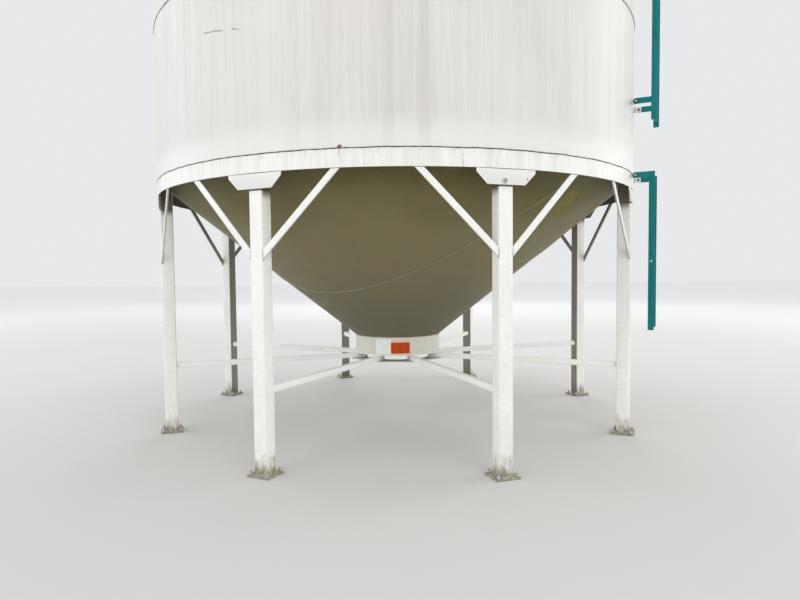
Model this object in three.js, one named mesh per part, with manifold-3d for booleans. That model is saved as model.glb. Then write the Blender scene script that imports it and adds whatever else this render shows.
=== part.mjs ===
import * as THREE from 'three';
import { mergeVertices } from 'three/addons/utils/BufferGeometryUtils.js';
import Module from 'manifold-3d';

const wasm = await Module();
wasm.setup();

// Driving dimensions in millimetres. The ground is z = 0 and the bin's axis is vertical.

const SEGMENTS = 64; // flats round every rolled sheet
const SEAT = 0.3; // clearance left between pieces that bear on each other
const BIN_RADIUS = 2134; // outside of the wall, a 14 ft bin
const WALL_THICKNESS = 3;
const COURSE_HEIGHT = 1236;
const COURSE_COUNT = 4;

const SKIRT_BOTTOM = 2006;
const SKIRT_HEIGHT = 117;
const SKIRT_THICKNESS = 6;
const SKIRT_PROUD = 2; // how far the skirt stands out from the wall

const CONE_THICKNESS = 4;
const CONE_MEETS_WALL = 2135; // height where the cone's outside would meet the wall's outside
const CONE_SEAT = 0.4; // clearance under the cone's rim, where the legs end
const COLLAR_RADIUS = 402;
const COLLAR_THICKNESS = 6;
const COLLAR_BOTTOM = 590;
const COLLAR_HEIGHT = 171;

const LEG_COUNT = 8;
const LEG_SIZE = 102; // 4 in square tube
const LEG_FACE = 2124; // distance of a leg's outer face from the axis
const FOOT_SIZE = 180;
const FOOT_THICKNESS = 10;

const CAP_HALF_TOP = 211;
const CAP_HALF_BOTTOM = 136;
const CAP_SIDE = 26; // upright side above the cut corner
const CAP_HEIGHT = 102;
const CAP_THICKNESS = 8;

const KNEE_WIDTH = 44; // flat bar
const KNEE_THICKNESS = 12;
const KNEE_LOW = 1475; // centre of the knee brace at the leg's side
const KNEE_FACE = 2121; // distance of the knee brace's face from the axis at the leg
const KNEE_REACH = 568; // sideways from the leg's centre where it meets the skirt's lower edge
const KNEE_TOP_RADIUS = 2130; // distance of its face from the axis there

const TIE_SIZE = 45; // square tube from leg to hub
const TIE_INNER_RADIUS = 330;
const HUB_RADIUS = 460; // corners of the hub plate, one under each tie
const HUB_HOLE_RADIUS = 300;
const HUB_THICKNESS = 8;

const ROOF_PITCH = THREE.MathUtils.degToRad(30);
const ROOF_THICKNESS = 3;
const EAVE_OVERHANG = 40;
const EAVE_LIP = 40;
const FILL_RADIUS = 305;
const FILL_THICKNESS = 5;
const FILL_HEIGHT = 130;
const LID_OVERLAP = 17;
const LID_LIP = 40;
const LID_THICKNESS = 3;
const LID_SLOPE = 0.2; // rise over run of a lid's shallow cone
const HATCH_RADIUS = 260;
const HATCH_FROM_AXIS = 1500;
const HATCH_DEPTH = 60;
const HATCH_HEIGHT = 80;

const UPPER_LADDER_FROM_AXIS = 2300; // distance of the rungs from the axis
const LOWER_LADDER_FROM_AXIS = 2289;
const LADDER_WIDTH = 300; // between rail centres
const RAIL_DEPTH = 44;
const RAIL_THICKNESS = 10;
const RUNG_RADIUS = 11;
const RUNG_SIDES = 8;
const RUNG_PITCH = 305;
const STANDOFF_HEIGHT = 45;
const STANDOFF_THICKNESS = 6;
const LUG_REACH = 52;
const LOWER_LADDER_BOTTOM = 875;
const LOWER_LADDER_TOP = 2122;
const LOWER_LADDER_FIRST_RUNG = 1000;
const LOWER_LADDER_RUNGS = 4;
const LOWER_STANDOFF = 2099;
const UPPER_LADDER_BOTTOM = 2518;
const UPPER_LADDER_TOP = 7200;
const UPPER_LADDER_FIRST_RUNG = 2560;
const UPPER_LADDER_RUNGS = 16;
const UPPER_STANDOFF = 2675;
const LADDER_SPLICE = 4750;

const OVERLAP = 0.5; // how far bars of one welded piece run into each other
const HOPPER_SHEETS = 4;
const ROOF_SHEETS = 8;

// Sizes that follow from the driving ones

const SKIRT_TOP = SKIRT_BOTTOM + SKIRT_HEIGHT;
const SKIRT_RADIUS = BIN_RADIUS + SKIRT_PROUD;
const WALL_TOP = SKIRT_TOP + COURSE_COUNT * COURSE_HEIGHT;
const COLLAR_TOP = COLLAR_BOTTOM + COLLAR_HEIGHT;
const CONE_SLOPE = (CONE_MEETS_WALL - COLLAR_TOP) / (BIN_RADIUS - COLLAR_RADIUS);
const CONE_RIM_RADIUS = BIN_RADIUS - WALL_THICKNESS - SEAT;
const CONE_UPRIGHT_THICKNESS = CONE_THICKNESS * Math.hypot(1, CONE_SLOPE);
const TIE_TOP = COLLAR_BOTTOM - SEAT;
const TIE_BOTTOM = TIE_TOP - TIE_SIZE;
const HUB_TOP = TIE_BOTTOM - SEAT;
const LEG_PITCH = 2 * Math.PI / LEG_COUNT;
const LADDER_AZIMUTH = 1.5 * LEG_PITCH; // in line with leg 3
const HOPPER_FIRST_SEAM = 0.5 * LEG_PITCH; // in line with leg 2
const ROOF_FIRST_SEAM = LEG_PITCH; // midway between legs 2 and 3, so the hatch is in the middle of a sheet
const ROOF_SLOPE = Math.tan(ROOF_PITCH);
const ROOF_UPRIGHT_THICKNESS = ROOF_THICKNESS / Math.cos(ROOF_PITCH);

const coneOutside = (radius) => COLLAR_TOP + (radius - COLLAR_RADIUS) * CONE_SLOPE;
const roofUnderside = (radius) => WALL_TOP + SEAT + (BIN_RADIUS - radius) * ROOF_SLOPE;

// Finishes

const offWhite = { color: 0xe4e3df, roughness: 0.45, metalness: 0.1 };
const shadedWhite = { color: 0xcdcbc0, roughness: 0.5, metalness: 0.1 };
const teal = { color: 0x0a7d76, roughness: 0.5, metalness: 0.1 };

// Solids

function toSolid(geometry) {
  const bare = geometry.clone();
  bare.deleteAttribute('normal');
  bare.deleteAttribute('uv');
  const merged = mergeVertices(bare, 1e-3);
  const corners = Array.from(merged.index.array);
  const kept = [];
  for (let i = 0; i < corners.length; i += 3) {
    const [a, b, c] = corners.slice(i, i + 3);
    if (a !== b && b !== c && c !== a) kept.push(a, b, c);
  }
  const vertProperties = new Float32Array(merged.attributes.position.array);
  const mesh = new wasm.Mesh({ numProp: 3, vertProperties, triVerts: new Uint32Array(kept) });
  return new wasm.Manifold(mesh);
}

function toGeometry(solid) {
  const mesh = solid.getMesh();
  const geometry = new THREE.BufferGeometry();
  geometry.setAttribute('position', new THREE.BufferAttribute(mesh.vertProperties, 3));
  geometry.setIndex(new THREE.BufferAttribute(mesh.triVerts, 1));
  geometry.computeVertexNormals();
  return geometry;
}

// A solid of revolution about z. The outline runs outward along the bottom, up, and back inward.
function revolve(outline, segments = SEGMENTS) {
  const points = outline.map(([radius, height]) => new THREE.Vector2(radius, height));
  return new THREE.LatheGeometry(points, segments).rotateX(Math.PI / 2);
}

function ring(innerRadius, outerRadius, bottom, top, segments = SEGMENTS) {
  const outline = [
    [innerRadius, bottom],
    [outerRadius, bottom],
    [outerRadius, top],
    [innerRadius, top],
    [innerRadius, bottom],
  ];
  return revolve(outline, segments);
}

function shell(outline) {
  return revolve([...outline, outline[0]]);
}

// A block given by its lowest and highest corners
function block(low, high) {
  const [x, y, z] = high.map((value, axis) => value - low[axis]);
  return new THREE.BoxGeometry(x, y, z).translate(low[0] + x / 2, low[1] + y / 2, low[2] + z / 2);
}

// A flat plate from an outline of [sideways, height] points, its inner face at the given distance
function uprightPlate(outline, distance, thickness) {
  const shape = new THREE.Shape(outline.map(([x, z]) => new THREE.Vector2(x, z)));
  const plate = new THREE.ExtrudeGeometry(shape, { depth: thickness, bevelEnabled: false });
  return plate.rotateX(Math.PI / 2).translate(0, -distance, 0);
}

// A piece's own mesh, turned about the axis so that its local -y points outward at the azimuth
function piece(name, geometry, finish, azimuth = 0) {
  const mesh = new THREE.Mesh(geometry, new THREE.MeshStandardMaterial(finish));
  mesh.name = name;
  mesh.rotation.z = azimuth;
  return mesh;
}

// What the legs under the cone and the ladder's standoffs beside the wall are cut back to

const underCone = toSolid(revolve([
  [0, coneOutside(COLLAR_RADIUS) - SEAT],
  [COLLAR_RADIUS, coneOutside(COLLAR_RADIUS) - SEAT],
  [CONE_RIM_RADIUS, coneOutside(CONE_RIM_RADIUS) - CONE_SEAT],
  [CONE_RIM_RADIUS, WALL_TOP],
  [0, WALL_TOP],
]));

const insideWall = toSolid(revolve([
  [0, 0],
  [SKIRT_RADIUS + SEAT, 0],
  [SKIRT_RADIUS + SEAT, SKIRT_TOP + SEAT],
  [BIN_RADIUS + SEAT, SKIRT_TOP + SEAT],
  [BIN_RADIUS + SEAT, WALL_TOP],
  [0, WALL_TOP],
]));

// The equal sheets of a cone, parted at its radial seams
function coneSheets(name, cone, count, firstSeam, finish) {
  const reach = 2 * BIN_RADIUS;
  const half = Math.PI / count;
  const tip = SEAT / 2 / Math.sin(half);
  const corner = (turn) => new THREE.Vector2(tip + reach * Math.cos(turn), reach * Math.sin(turn));
  const sector = new THREE.Shape([new THREE.Vector2(tip, 0), corner(-half), corner(half)]);
  return Array.from({ length: count }, (_, index) => {
    const wedge = new THREE.ExtrudeGeometry(sector, { depth: 2 * WALL_TOP, bevelEnabled: false });
    wedge.rotateZ(firstSeam + (2 * index + 1) * half - Math.PI / 2);
    return piece(`${name}_${index + 1}`, toGeometry(cone.intersect(toSolid(wedge))), finish);
  });
}

// Wall, skirt, cone and collar

function wallCourses() {
  return Array.from({ length: COURSE_COUNT }, (_, index) => {
    const bottom = SKIRT_TOP + index * COURSE_HEIGHT + SEAT;
    const top = SKIRT_TOP + (index + 1) * COURSE_HEIGHT;
    const sheet = ring(BIN_RADIUS - WALL_THICKNESS, BIN_RADIUS, bottom, top);
    return piece(`wall_course_${index + 1}`, toGeometry(toSolid(sheet)), offWhite);
  });
}

function skirt() {
  const band = ring(SKIRT_RADIUS - SKIRT_THICKNESS, SKIRT_RADIUS, SKIRT_BOTTOM, SKIRT_TOP);
  return piece('skirt_band', toGeometry(toSolid(band)), offWhite);
}

function hopper() {
  const lip = CONE_UPRIGHT_THICKNESS / CONE_SLOPE;
  const cone = shell([
    [COLLAR_RADIUS, COLLAR_TOP + SEAT],
    [CONE_RIM_RADIUS, coneOutside(CONE_RIM_RADIUS) + SEAT],
    [CONE_RIM_RADIUS, coneOutside(CONE_RIM_RADIUS) + CONE_UPRIGHT_THICKNESS + SEAT],
    [COLLAR_RADIUS - lip, COLLAR_TOP + SEAT],
  ]);
  return coneSheets('hopper_sheet', toSolid(cone), HOPPER_SHEETS, HOPPER_FIRST_SEAM, shadedWhite);
}

function collar() {
  const tube = ring(COLLAR_RADIUS - COLLAR_THICKNESS, COLLAR_RADIUS, COLLAR_BOTTOM, COLLAR_TOP);
  return piece('discharge_collar', toGeometry(toSolid(tube)), shadedWhite);
}

// An eight-sided plate under the ties, with a corner below each tie and a round hole for the grain
function hub() {
  const cornerAngle = (index) => (index + 0.5) * LEG_PITCH;
  const corners = Array.from({ length: LEG_COUNT }, (_, index) => new THREE.Vector2(
    HUB_RADIUS * Math.sin(cornerAngle(index)),
    -HUB_RADIUS * Math.cos(cornerAngle(index)),
  ));
  const shape = new THREE.Shape(corners);
  shape.holes.push(new THREE.Path().absarc(0, 0, HUB_HOLE_RADIUS, 0, 2 * Math.PI, true));
  const plate = new THREE.ExtrudeGeometry(shape, {
    depth: HUB_THICKNESS,
    bevelEnabled: false,
    curveSegments: SEGMENTS,
  });
  plate.translate(0, 0, HUB_TOP - HUB_THICKNESS);
  return piece('hub_plate', toGeometry(toSolid(plate)), shadedWhite);
}

// Legs: a tube with its foot plate and the cap plate that joins it to the skirt

function legGeometry() {
  const half = LEG_SIZE / 2;
  const axis = LEG_FACE - half;
  const tube = block(
    [-half, -LEG_FACE, FOOT_THICKNESS - OVERLAP],
    [half, -LEG_FACE + LEG_SIZE, SKIRT_TOP],
  );
  const foot = block(
    [-FOOT_SIZE / 2, -axis - FOOT_SIZE / 2, 0],
    [FOOT_SIZE / 2, -axis + FOOT_SIZE / 2, FOOT_THICKNESS],
  );
  const capTop = SKIRT_BOTTOM - SEAT;
  const cap = uprightPlate([
    [-CAP_HALF_BOTTOM, capTop - CAP_HEIGHT],
    [CAP_HALF_BOTTOM, capTop - CAP_HEIGHT],
    [CAP_HALF_TOP, capTop - CAP_SIDE],
    [CAP_HALF_TOP, capTop],
    [-CAP_HALF_TOP, capTop],
    [-CAP_HALF_TOP, capTop - CAP_SIDE],
  ], LEG_FACE - OVERLAP, CAP_THICKNESS);
  return toGeometry(toSolid(tube).subtract(underCone).add(toSolid(foot)).add(toSolid(cap)));
}

// A knee brace: a flat bar from the leg's side up to the skirt's lower edge, where it is cut level.
// side is 1 for the brace on the leg's +x side and -1 for its mirror image.
function kneeBraceGeometry(side) {
  const low = new THREE.Vector3(side * LEG_SIZE / 2, -KNEE_FACE, KNEE_LOW);
  const topDistance = Math.sqrt(KNEE_TOP_RADIUS ** 2 - KNEE_REACH ** 2);
  const high = new THREE.Vector3(side * KNEE_REACH, -topDistance, SKIRT_BOTTOM);
  const along = high.clone().sub(low).normalize();
  const inward = new THREE.Vector3(side * (high.y - low.y), -side * (high.x - low.x), 0).normalize();
  if (inward.y < 0) inward.negate();
  const across = inward.clone().cross(along);

  const startBack = LEG_SIZE / 2;
  const end = low.distanceTo(high) + SKIRT_HEIGHT;
  const bar = block([-KNEE_WIDTH / 2, 0, -startBack], [KNEE_WIDTH / 2, KNEE_THICKNESS, end]);
  bar.applyMatrix4(new THREE.Matrix4().makeBasis(across, inward, along).setPosition(low));

  const legSide = LEG_SIZE / 2 + SEAT;
  const throughLeg = block(
    [-legSide, -BIN_RADIUS, 0],
    [legSide, -LEG_FACE + LEG_SIZE + SEAT, SKIRT_BOTTOM],
  );
  const beyondLeg = side > 0
    ? block([-BIN_RADIUS, -BIN_RADIUS, 0], [0, 0, SKIRT_BOTTOM])
    : block([0, -BIN_RADIUS, 0], [BIN_RADIUS, 0, SKIRT_BOTTOM]);
  const aboveSkirtEdge = block(
    [-BIN_RADIUS, -2 * BIN_RADIUS, SKIRT_BOTTOM - SEAT],
    [BIN_RADIUS, 0, WALL_TOP],
  );
  const fitted = toSolid(bar).subtract(toSolid(aboveSkirtEdge)).subtract(toSolid(throughLeg));
  return toGeometry(fitted.subtract(toSolid(beyondLeg)));
}

// A radial tie: square tube from the leg's inner face to the hub, under the collar's rim
function tieGeometry() {
  const outer = LEG_FACE - LEG_SIZE - SEAT;
  return block([-TIE_SIZE / 2, -outer, TIE_BOTTOM], [TIE_SIZE / 2, -TIE_INNER_RADIUS, TIE_TOP]);
}

function supports() {
  const leg = legGeometry();
  const kneeLeft = kneeBraceGeometry(-1);
  const kneeRight = kneeBraceGeometry(1);
  const tie = tieGeometry();
  return Array.from({ length: LEG_COUNT }, (_, index) => {
    const azimuth = (index - 0.5) * LEG_PITCH;
    const number = index + 1;
    return [
      piece(`leg_${number}`, leg.clone(), offWhite, azimuth),
      piece(`knee_brace_${number}_left`, kneeLeft.clone(), offWhite, azimuth),
      piece(`knee_brace_${number}_right`, kneeRight.clone(), offWhite, azimuth),
      piece(`radial_tie_${number}`, tie.clone(), offWhite, azimuth),
    ];
  }).flat();
}

// Roof with its central fill opening and the inspection hatch above the ladder

const hatchPlace = new THREE.Matrix4()
  .makeRotationX(ROOF_PITCH)
  .setPosition(0, -HATCH_FROM_AXIS, roofUnderside(HATCH_FROM_AXIS) + ROOF_UPRIGHT_THICKNESS);

// A lid: a shallow cone over an opening of the given outer radius, with a lip that hangs round it
function lidGeometry(openingRadius, openingTop) {
  const inner = openingRadius + LID_OVERLAP;
  const outer = inner + LID_THICKNESS;
  const underside = (radius) => openingTop + SEAT + (openingRadius - radius) * LID_SLOPE;
  return revolve([
    [0, underside(0)],
    [inner, underside(inner)],
    [inner, underside(inner) - LID_LIP],
    [outer, underside(inner) - LID_LIP],
    [outer, underside(outer) + LID_THICKNESS],
    [0, underside(0) + LID_THICKNESS],
  ], SEGMENTS / 2);
}

function roof() {
  const eaveInner = BIN_RADIUS + EAVE_OVERHANG - ROOF_THICKNESS;
  const eaveOuter = BIN_RADIUS + EAVE_OVERHANG;
  const hole = FILL_RADIUS + SEAT;
  const sheet = toSolid(shell([
    [hole, roofUnderside(hole)],
    [eaveInner, roofUnderside(eaveInner)],
    [eaveInner, roofUnderside(eaveInner) - EAVE_LIP],
    [eaveOuter, roofUnderside(eaveInner) - EAVE_LIP],
    [eaveOuter, roofUnderside(eaveOuter) + ROOF_UPRIGHT_THICKNESS],
    [hole, roofUnderside(hole) + ROOF_UPRIGHT_THICKNESS],
  ]));
  const cutRadius = HATCH_RADIUS + SEAT;
  const cutter = new THREE.CylinderGeometry(cutRadius, cutRadius, 4 * HATCH_DEPTH, SEGMENTS / 2);
  cutter.rotateX(Math.PI / 2).applyMatrix4(hatchPlace).rotateZ(LADDER_AZIMUTH);
  const cut = sheet.subtract(toSolid(cutter));
  return coneSheets('roof_sheet', cut, ROOF_SHEETS, ROOF_FIRST_SEAM, offWhite);
}

function fillOpening() {
  const bottom = roofUnderside(FILL_RADIUS);
  const top = bottom + FILL_HEIGHT;
  const tube = ring(FILL_RADIUS - FILL_THICKNESS, FILL_RADIUS, bottom, top);
  return [
    piece('fill_ring', toGeometry(toSolid(tube)), offWhite),
    piece('fill_lid', toGeometry(toSolid(lidGeometry(FILL_RADIUS, top))), offWhite),
  ];
}

function roofHatch() {
  const inner = HATCH_RADIUS - FILL_THICKNESS;
  const frame = ring(inner, HATCH_RADIUS, -HATCH_DEPTH, HATCH_HEIGHT, SEGMENTS / 2);
  const lid = lidGeometry(HATCH_RADIUS, HATCH_HEIGHT);
  const placed = (geometry) => toGeometry(toSolid(geometry.applyMatrix4(hatchPlace)));
  return [
    piece('roof_hatch_ring', placed(frame), offWhite, LADDER_AZIMUTH),
    piece('roof_hatch_lid', placed(lid), offWhite, LADDER_AZIMUTH),
  ];
}

// Ladder sections

function rungGeometry(fromAxis, height) {
  const rung = new THREE.CylinderGeometry(RUNG_RADIUS, RUNG_RADIUS, LADDER_WIDTH, RUNG_SIDES);
  return rung.rotateZ(Math.PI / 2).translate(0, -fromAxis, height);
}

// The bar that carries a rail, and the lug on the wall that it is bolted to. side is 1 or -1.
function standoffSolid(side, fromAxis, height) {
  const centre = side * LADDER_WIDTH / 2;
  const low = height - STANDOFF_HEIGHT / 2;
  const high = height + STANDOFF_HEIGHT / 2;
  const bar = block(
    [centre - STANDOFF_THICKNESS / 2, -fromAxis, low],
    [centre + STANDOFF_THICKNESS / 2, -BIN_RADIUS + LUG_REACH / 2, high],
  );
  const lugNear = centre - side * (STANDOFF_THICKNESS / 2 - OVERLAP);
  const lugFar = lugNear - side * STANDOFF_THICKNESS;
  const lug = block(
    [Math.min(lugNear, lugFar), -BIN_RADIUS - LUG_REACH, low],
    [Math.max(lugNear, lugFar), -BIN_RADIUS + LUG_REACH / 2, high],
  );
  return toSolid(bar).add(toSolid(lug)).subtract(insideWall);
}

// One length of ladder, with the rungs and standoffs whose heights fall within it
function ladderSection(name, fromAxis, bottom, top, rungs, standoffs) {
  const within = (height) => height > bottom && height < top;
  let solid = null;
  for (const side of [-1, 1]) {
    const centre = side * LADDER_WIDTH / 2;
    const rail = toSolid(block(
      [centre - RAIL_THICKNESS / 2, -fromAxis - RAIL_DEPTH / 2, bottom],
      [centre + RAIL_THICKNESS / 2, -fromAxis + RAIL_DEPTH / 2, top],
    ));
    solid = solid ? solid.add(rail) : rail;
    for (const height of standoffs.filter(within)) solid = solid.add(standoffSolid(side, fromAxis, height));
  }
  for (const height of rungs.filter(within)) solid = solid.add(toSolid(rungGeometry(fromAxis, height)));
  return piece(name, toGeometry(solid), teal, LADDER_AZIMUTH);
}

function ladder() {
  const heights = (first, pitch, count) => Array.from({ length: count }, (_, i) => first + i * pitch);
  const rungs = [
    ...heights(LOWER_LADDER_FIRST_RUNG, RUNG_PITCH, LOWER_LADDER_RUNGS),
    ...heights(UPPER_LADDER_FIRST_RUNG, RUNG_PITCH, UPPER_LADDER_RUNGS),
  ];
  const standoffs = [LOWER_STANDOFF, ...heights(UPPER_STANDOFF, COURSE_HEIGHT, COURSE_COUNT)];
  const lower = LOWER_LADDER_FROM_AXIS;
  const upper = UPPER_LADDER_FROM_AXIS;
  return [
    ladderSection('ladder_lower', lower, LOWER_LADDER_BOTTOM, LOWER_LADDER_TOP, rungs, standoffs),
    ladderSection('ladder_middle', upper, UPPER_LADDER_BOTTOM, LADDER_SPLICE, rungs, standoffs),
    ladderSection('ladder_upper', upper, LADDER_SPLICE + SEAT, UPPER_LADDER_TOP, rungs, standoffs),
  ];
}

const silo = new THREE.Group();
silo.add(...wallCourses(), skirt(), ...hopper(), collar(), hub());
silo.add(...supports());
silo.add(...roof(), ...fillOpening(), ...roofHatch());
silo.add(...ladder());

// The ladder makes the whole wider on one side, so the axis is set off to centre the whole on the origin
const extent = new THREE.Box3().setFromObject(silo, true);
silo.position.set(-(extent.min.x + extent.max.x) / 2, -(extent.min.y + extent.max.y) / 2, 0);

export default silo;
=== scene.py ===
import math
from functools import cached_property

import bmesh
import bpy
from mathutils import Matrix, Vector, noise


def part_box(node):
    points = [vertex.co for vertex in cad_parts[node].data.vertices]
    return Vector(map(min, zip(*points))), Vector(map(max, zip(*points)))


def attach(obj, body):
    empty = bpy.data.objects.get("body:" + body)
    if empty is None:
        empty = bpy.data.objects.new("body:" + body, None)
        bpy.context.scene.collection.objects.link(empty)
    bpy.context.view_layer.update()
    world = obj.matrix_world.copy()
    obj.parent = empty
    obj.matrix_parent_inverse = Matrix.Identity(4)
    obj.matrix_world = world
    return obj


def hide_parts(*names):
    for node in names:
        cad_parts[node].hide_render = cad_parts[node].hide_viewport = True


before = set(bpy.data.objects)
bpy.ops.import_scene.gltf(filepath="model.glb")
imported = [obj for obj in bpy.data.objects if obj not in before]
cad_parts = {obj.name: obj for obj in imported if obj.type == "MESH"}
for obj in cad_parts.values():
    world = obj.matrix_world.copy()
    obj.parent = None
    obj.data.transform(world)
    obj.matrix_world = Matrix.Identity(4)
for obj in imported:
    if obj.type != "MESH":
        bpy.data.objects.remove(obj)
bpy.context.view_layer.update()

# Sizes in metres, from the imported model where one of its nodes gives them

MM = 0.001
TURN = 2 * math.pi
wall_low, wall_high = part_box("wall_course_1")
skirt_low, skirt_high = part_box("skirt_band")
collar_low, collar_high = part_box("discharge_collar")
hub_low, hub_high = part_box("hub_plate")

AXIS = Vector(((wall_low.x + wall_high.x) / 2, (wall_low.y + wall_high.y) / 2, 0))
BIN_RADIUS = (wall_high.y - wall_low.y) / 2
WALL_THICKNESS = 3 * MM
COURSES = [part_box(f"wall_course_{index}") for index in range(1, 5)]
COURSE_HEIGHT = COURSES[1][0].z - COURSES[0][0].z
WALL_TOP = COURSES[-1][1].z
SHEET_WAVE = 0.9 * MM
SEAM_PINCH = 1.3 * MM
SEAM_PINCH_REACH = 26 * MM
UPRIGHT_SEAM_DEGREES = ((95, 275), (152, 330), (40, 218), (110, 290))

SKIRT_RADIUS = (skirt_high.y - skirt_low.y) / 2
SKIRT_BOTTOM, SKIRT_TOP = skirt_low.z, skirt_high.z
SKIRT_THICKNESS = 6 * MM
SKIRT_SEAM_DEGREES = (14.5, 134.5, 254.5)

SEAT = 0.3 * MM
CONE_THICKNESS = 4 * MM
CONE_MEETS_WALL = 2135 * MM
COLLAR_RADIUS = (collar_high.y - collar_low.y) / 2
COLLAR_BOTTOM, COLLAR_TOP = collar_low.z, collar_high.z
COLLAR_THICKNESS = 6 * MM
COLLAR_SEAM_AZIMUTH = math.radians(160)
CONE_SLOPE = (CONE_MEETS_WALL - COLLAR_TOP) / (BIN_RADIUS - COLLAR_RADIUS)
CONE_RIM_RADIUS = BIN_RADIUS - WALL_THICKNESS - SEAT
CONE_STRETCH = math.hypot(1, CONE_SLOPE)
CONE_APEX = COLLAR_TOP - COLLAR_RADIUS * CONE_SLOPE
# A long seam of the cone is straight on the flat sheet: it passes this far from the apex, at this azimuth
SEAM_FROM_APEX = 1197 * MM
SEAM_AZIMUTH = math.radians(-35.6)
RADIAL_SEAM_DEGREES = (100.4, 280.4)

HUB_HOLE_RADIUS = 300 * MM
HUB_CORNER_RADIUS = 460 * MM
HUB_BOLT_RADIUS = 355 * MM
HUB_BOLTS = 16
TIE_SIZE = 45 * MM
TIE_WALL = 3 * MM
TIE_INNER_RADIUS = 330 * MM
TIE_TOP = COLLAR_BOTTOM - SEAT
TIE_WELD_REACHES = (340 * MM, 420 * MM)

LEG_COUNT = 8
LEG_PITCH = TURN / LEG_COUNT
LEG_AZIMUTHS = [(index - 0.5) * LEG_PITCH for index in range(LEG_COUNT)]
LEG_SIZE = 102 * MM
LEG_FACE = 2124 * MM
LEG_CORNER = 9 * MM
FOOT_SIZE = 180 * MM
FOOT_THICKNESS = 10 * MM
FOOT_BOLT = 68 * MM
CAP_TOP = SKIRT_BOTTOM - SEAT
CAP_HEIGHT = 102 * MM
CAP_LOW = CAP_TOP - CAP_HEIGHT
CAP_GROOVE = 3 * MM
CAP_SIDE = 26 * MM
CAP_HALF_TOP = 211 * MM
CAP_HALF_BOTTOM = 136 * MM
CAP_THICKNESS = 8 * MM
CAP_BACK = LEG_FACE - 0.5 * MM
CAP_FACE = CAP_BACK + CAP_THICKNESS

KNEE_WIDTH = 44 * MM
KNEE_THICKNESS = 12 * MM
KNEE_LOW = 1475 * MM
KNEE_FACE = 2121 * MM
KNEE_REACH = 568 * MM
KNEE_TOP_RADIUS = 2130 * MM

ROOF_PITCH = math.radians(30)
ROOF_SLOPE = math.tan(ROOF_PITCH)
ROOF_THICKNESS = 3 * MM
ROOF_UPRIGHT = ROOF_THICKNESS / math.cos(ROOF_PITCH)
ROOF_SHEETS = 8
EAVE_RADIUS = BIN_RADIUS + 40 * MM
EAVE_LIP = 40 * MM
FILL_RADIUS = 305 * MM
FILL_HEIGHT = 130 * MM
NECK_THICKNESS = 5 * MM
HATCH_RADIUS = 260 * MM
HATCH_FROM_AXIS = 1500 * MM
HATCH_DEPTH = 60 * MM
HATCH_HEIGHT = 80 * MM
HINGE_SIDE = 70 * MM
LID_OVERLAP = 17 * MM
LID_LIP = 40 * MM
LID_THICKNESS = 3 * MM
LID_SLOPE = 0.2
LID_HEM = 1.5 * MM

LADDER_AZIMUTH = 1.5 * LEG_PITCH
UPPER_LADDER_FROM_AXIS = 2300 * MM
LOWER_LADDER_FROM_AXIS = 2289 * MM
LADDER_WIDTH = 300 * MM
RAIL_DEPTH = 44 * MM
RAIL_THICKNESS = 10 * MM
RUNG_RADIUS = 11 * MM
RUNG_PITCH = 305 * MM
LOWER_RUNGS = [1000 * MM + RUNG_PITCH * step for step in range(4)]
UPPER_RUNGS = [2560 * MM + RUNG_PITCH * step for step in range(16)]
STANDOFF_HEIGHT = 45 * MM
STANDOFF_THICKNESS = 6 * MM
LOWER_STANDOFFS = [2099 * MM]
UPPER_STANDOFFS = [2675 * MM + COURSE_HEIGHT * step for step in range(4)]
LUG_REACH = 52 * MM
LUG_BOLT_REACH = 33 * MM


def cone_outside(radius):
    return COLLAR_TOP + (radius - COLLAR_RADIUS) * CONE_SLOPE


def roof_underside(radius):
    return WALL_TOP + SEAT + (BIN_RADIUS - radius) * ROOF_SLOPE


def roof_top(radius):
    return roof_underside(radius) + ROOF_UPRIGHT


def outward(azimuth):
    return Vector((math.sin(azimuth), -math.cos(azimuth), 0))


def sideways(azimuth):
    return Vector((math.cos(azimuth), math.sin(azimuth), 0))


def place(azimuth, radius, height, side=0.0):
    """A point by its direction from the axis, from the front towards +x, its distance and its height."""
    return AXIS + outward(azimuth) * radius + sideways(azimuth) * side + Vector((0, 0, height))


def ring(radius, height, steps):
    return [place(TURN * step / steps, radius, height) for step in range(steps)]


def spread(low, high, steps):
    """Evenly spaced numbers from low to high, with both ends."""
    return [low + (high - low) * step / steps for step in range(steps + 1)]


# Camera, fitted to the photograph

CAMERA_FROM_AXIS = Vector((0.33162, -5.93797, 1.35902))
CAMERA_YAW = -0.05132
CAMERA_DIP = 0.04683
CAMERA_ROLL = -0.00964
FOCAL_PIXELS = 613.75
PICTURE_WIDTH = 800
SENSOR_WIDTH = 36.0
FARTHEST = 200


def make_camera():
    ahead = Vector((
        math.sin(CAMERA_YAW) * math.cos(CAMERA_DIP),
        math.cos(CAMERA_YAW) * math.cos(CAMERA_DIP),
        -math.sin(CAMERA_DIP),
    ))
    level_right = Vector((math.cos(CAMERA_YAW), -math.sin(CAMERA_YAW), 0))
    level_up = level_right.cross(ahead)
    right = level_right * math.cos(CAMERA_ROLL) + level_up * math.sin(CAMERA_ROLL)
    up = level_up * math.cos(CAMERA_ROLL) - level_right * math.sin(CAMERA_ROLL)
    data = bpy.data.cameras.new("camera")
    data.sensor_width = SENSOR_WIDTH
    data.lens = FOCAL_PIXELS / PICTURE_WIDTH * SENSOR_WIDTH
    data.clip_end = FARTHEST
    camera = bpy.data.objects.new("camera", data)
    bpy.context.scene.collection.objects.link(camera)
    turn = Matrix((right, up, -ahead)).transposed()
    camera.matrix_world = Matrix.Translation(AXIS + CAMERA_FROM_AXIS) @ turn.to_4x4()
    bpy.context.scene.camera = camera


make_camera()


# Materials


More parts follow.
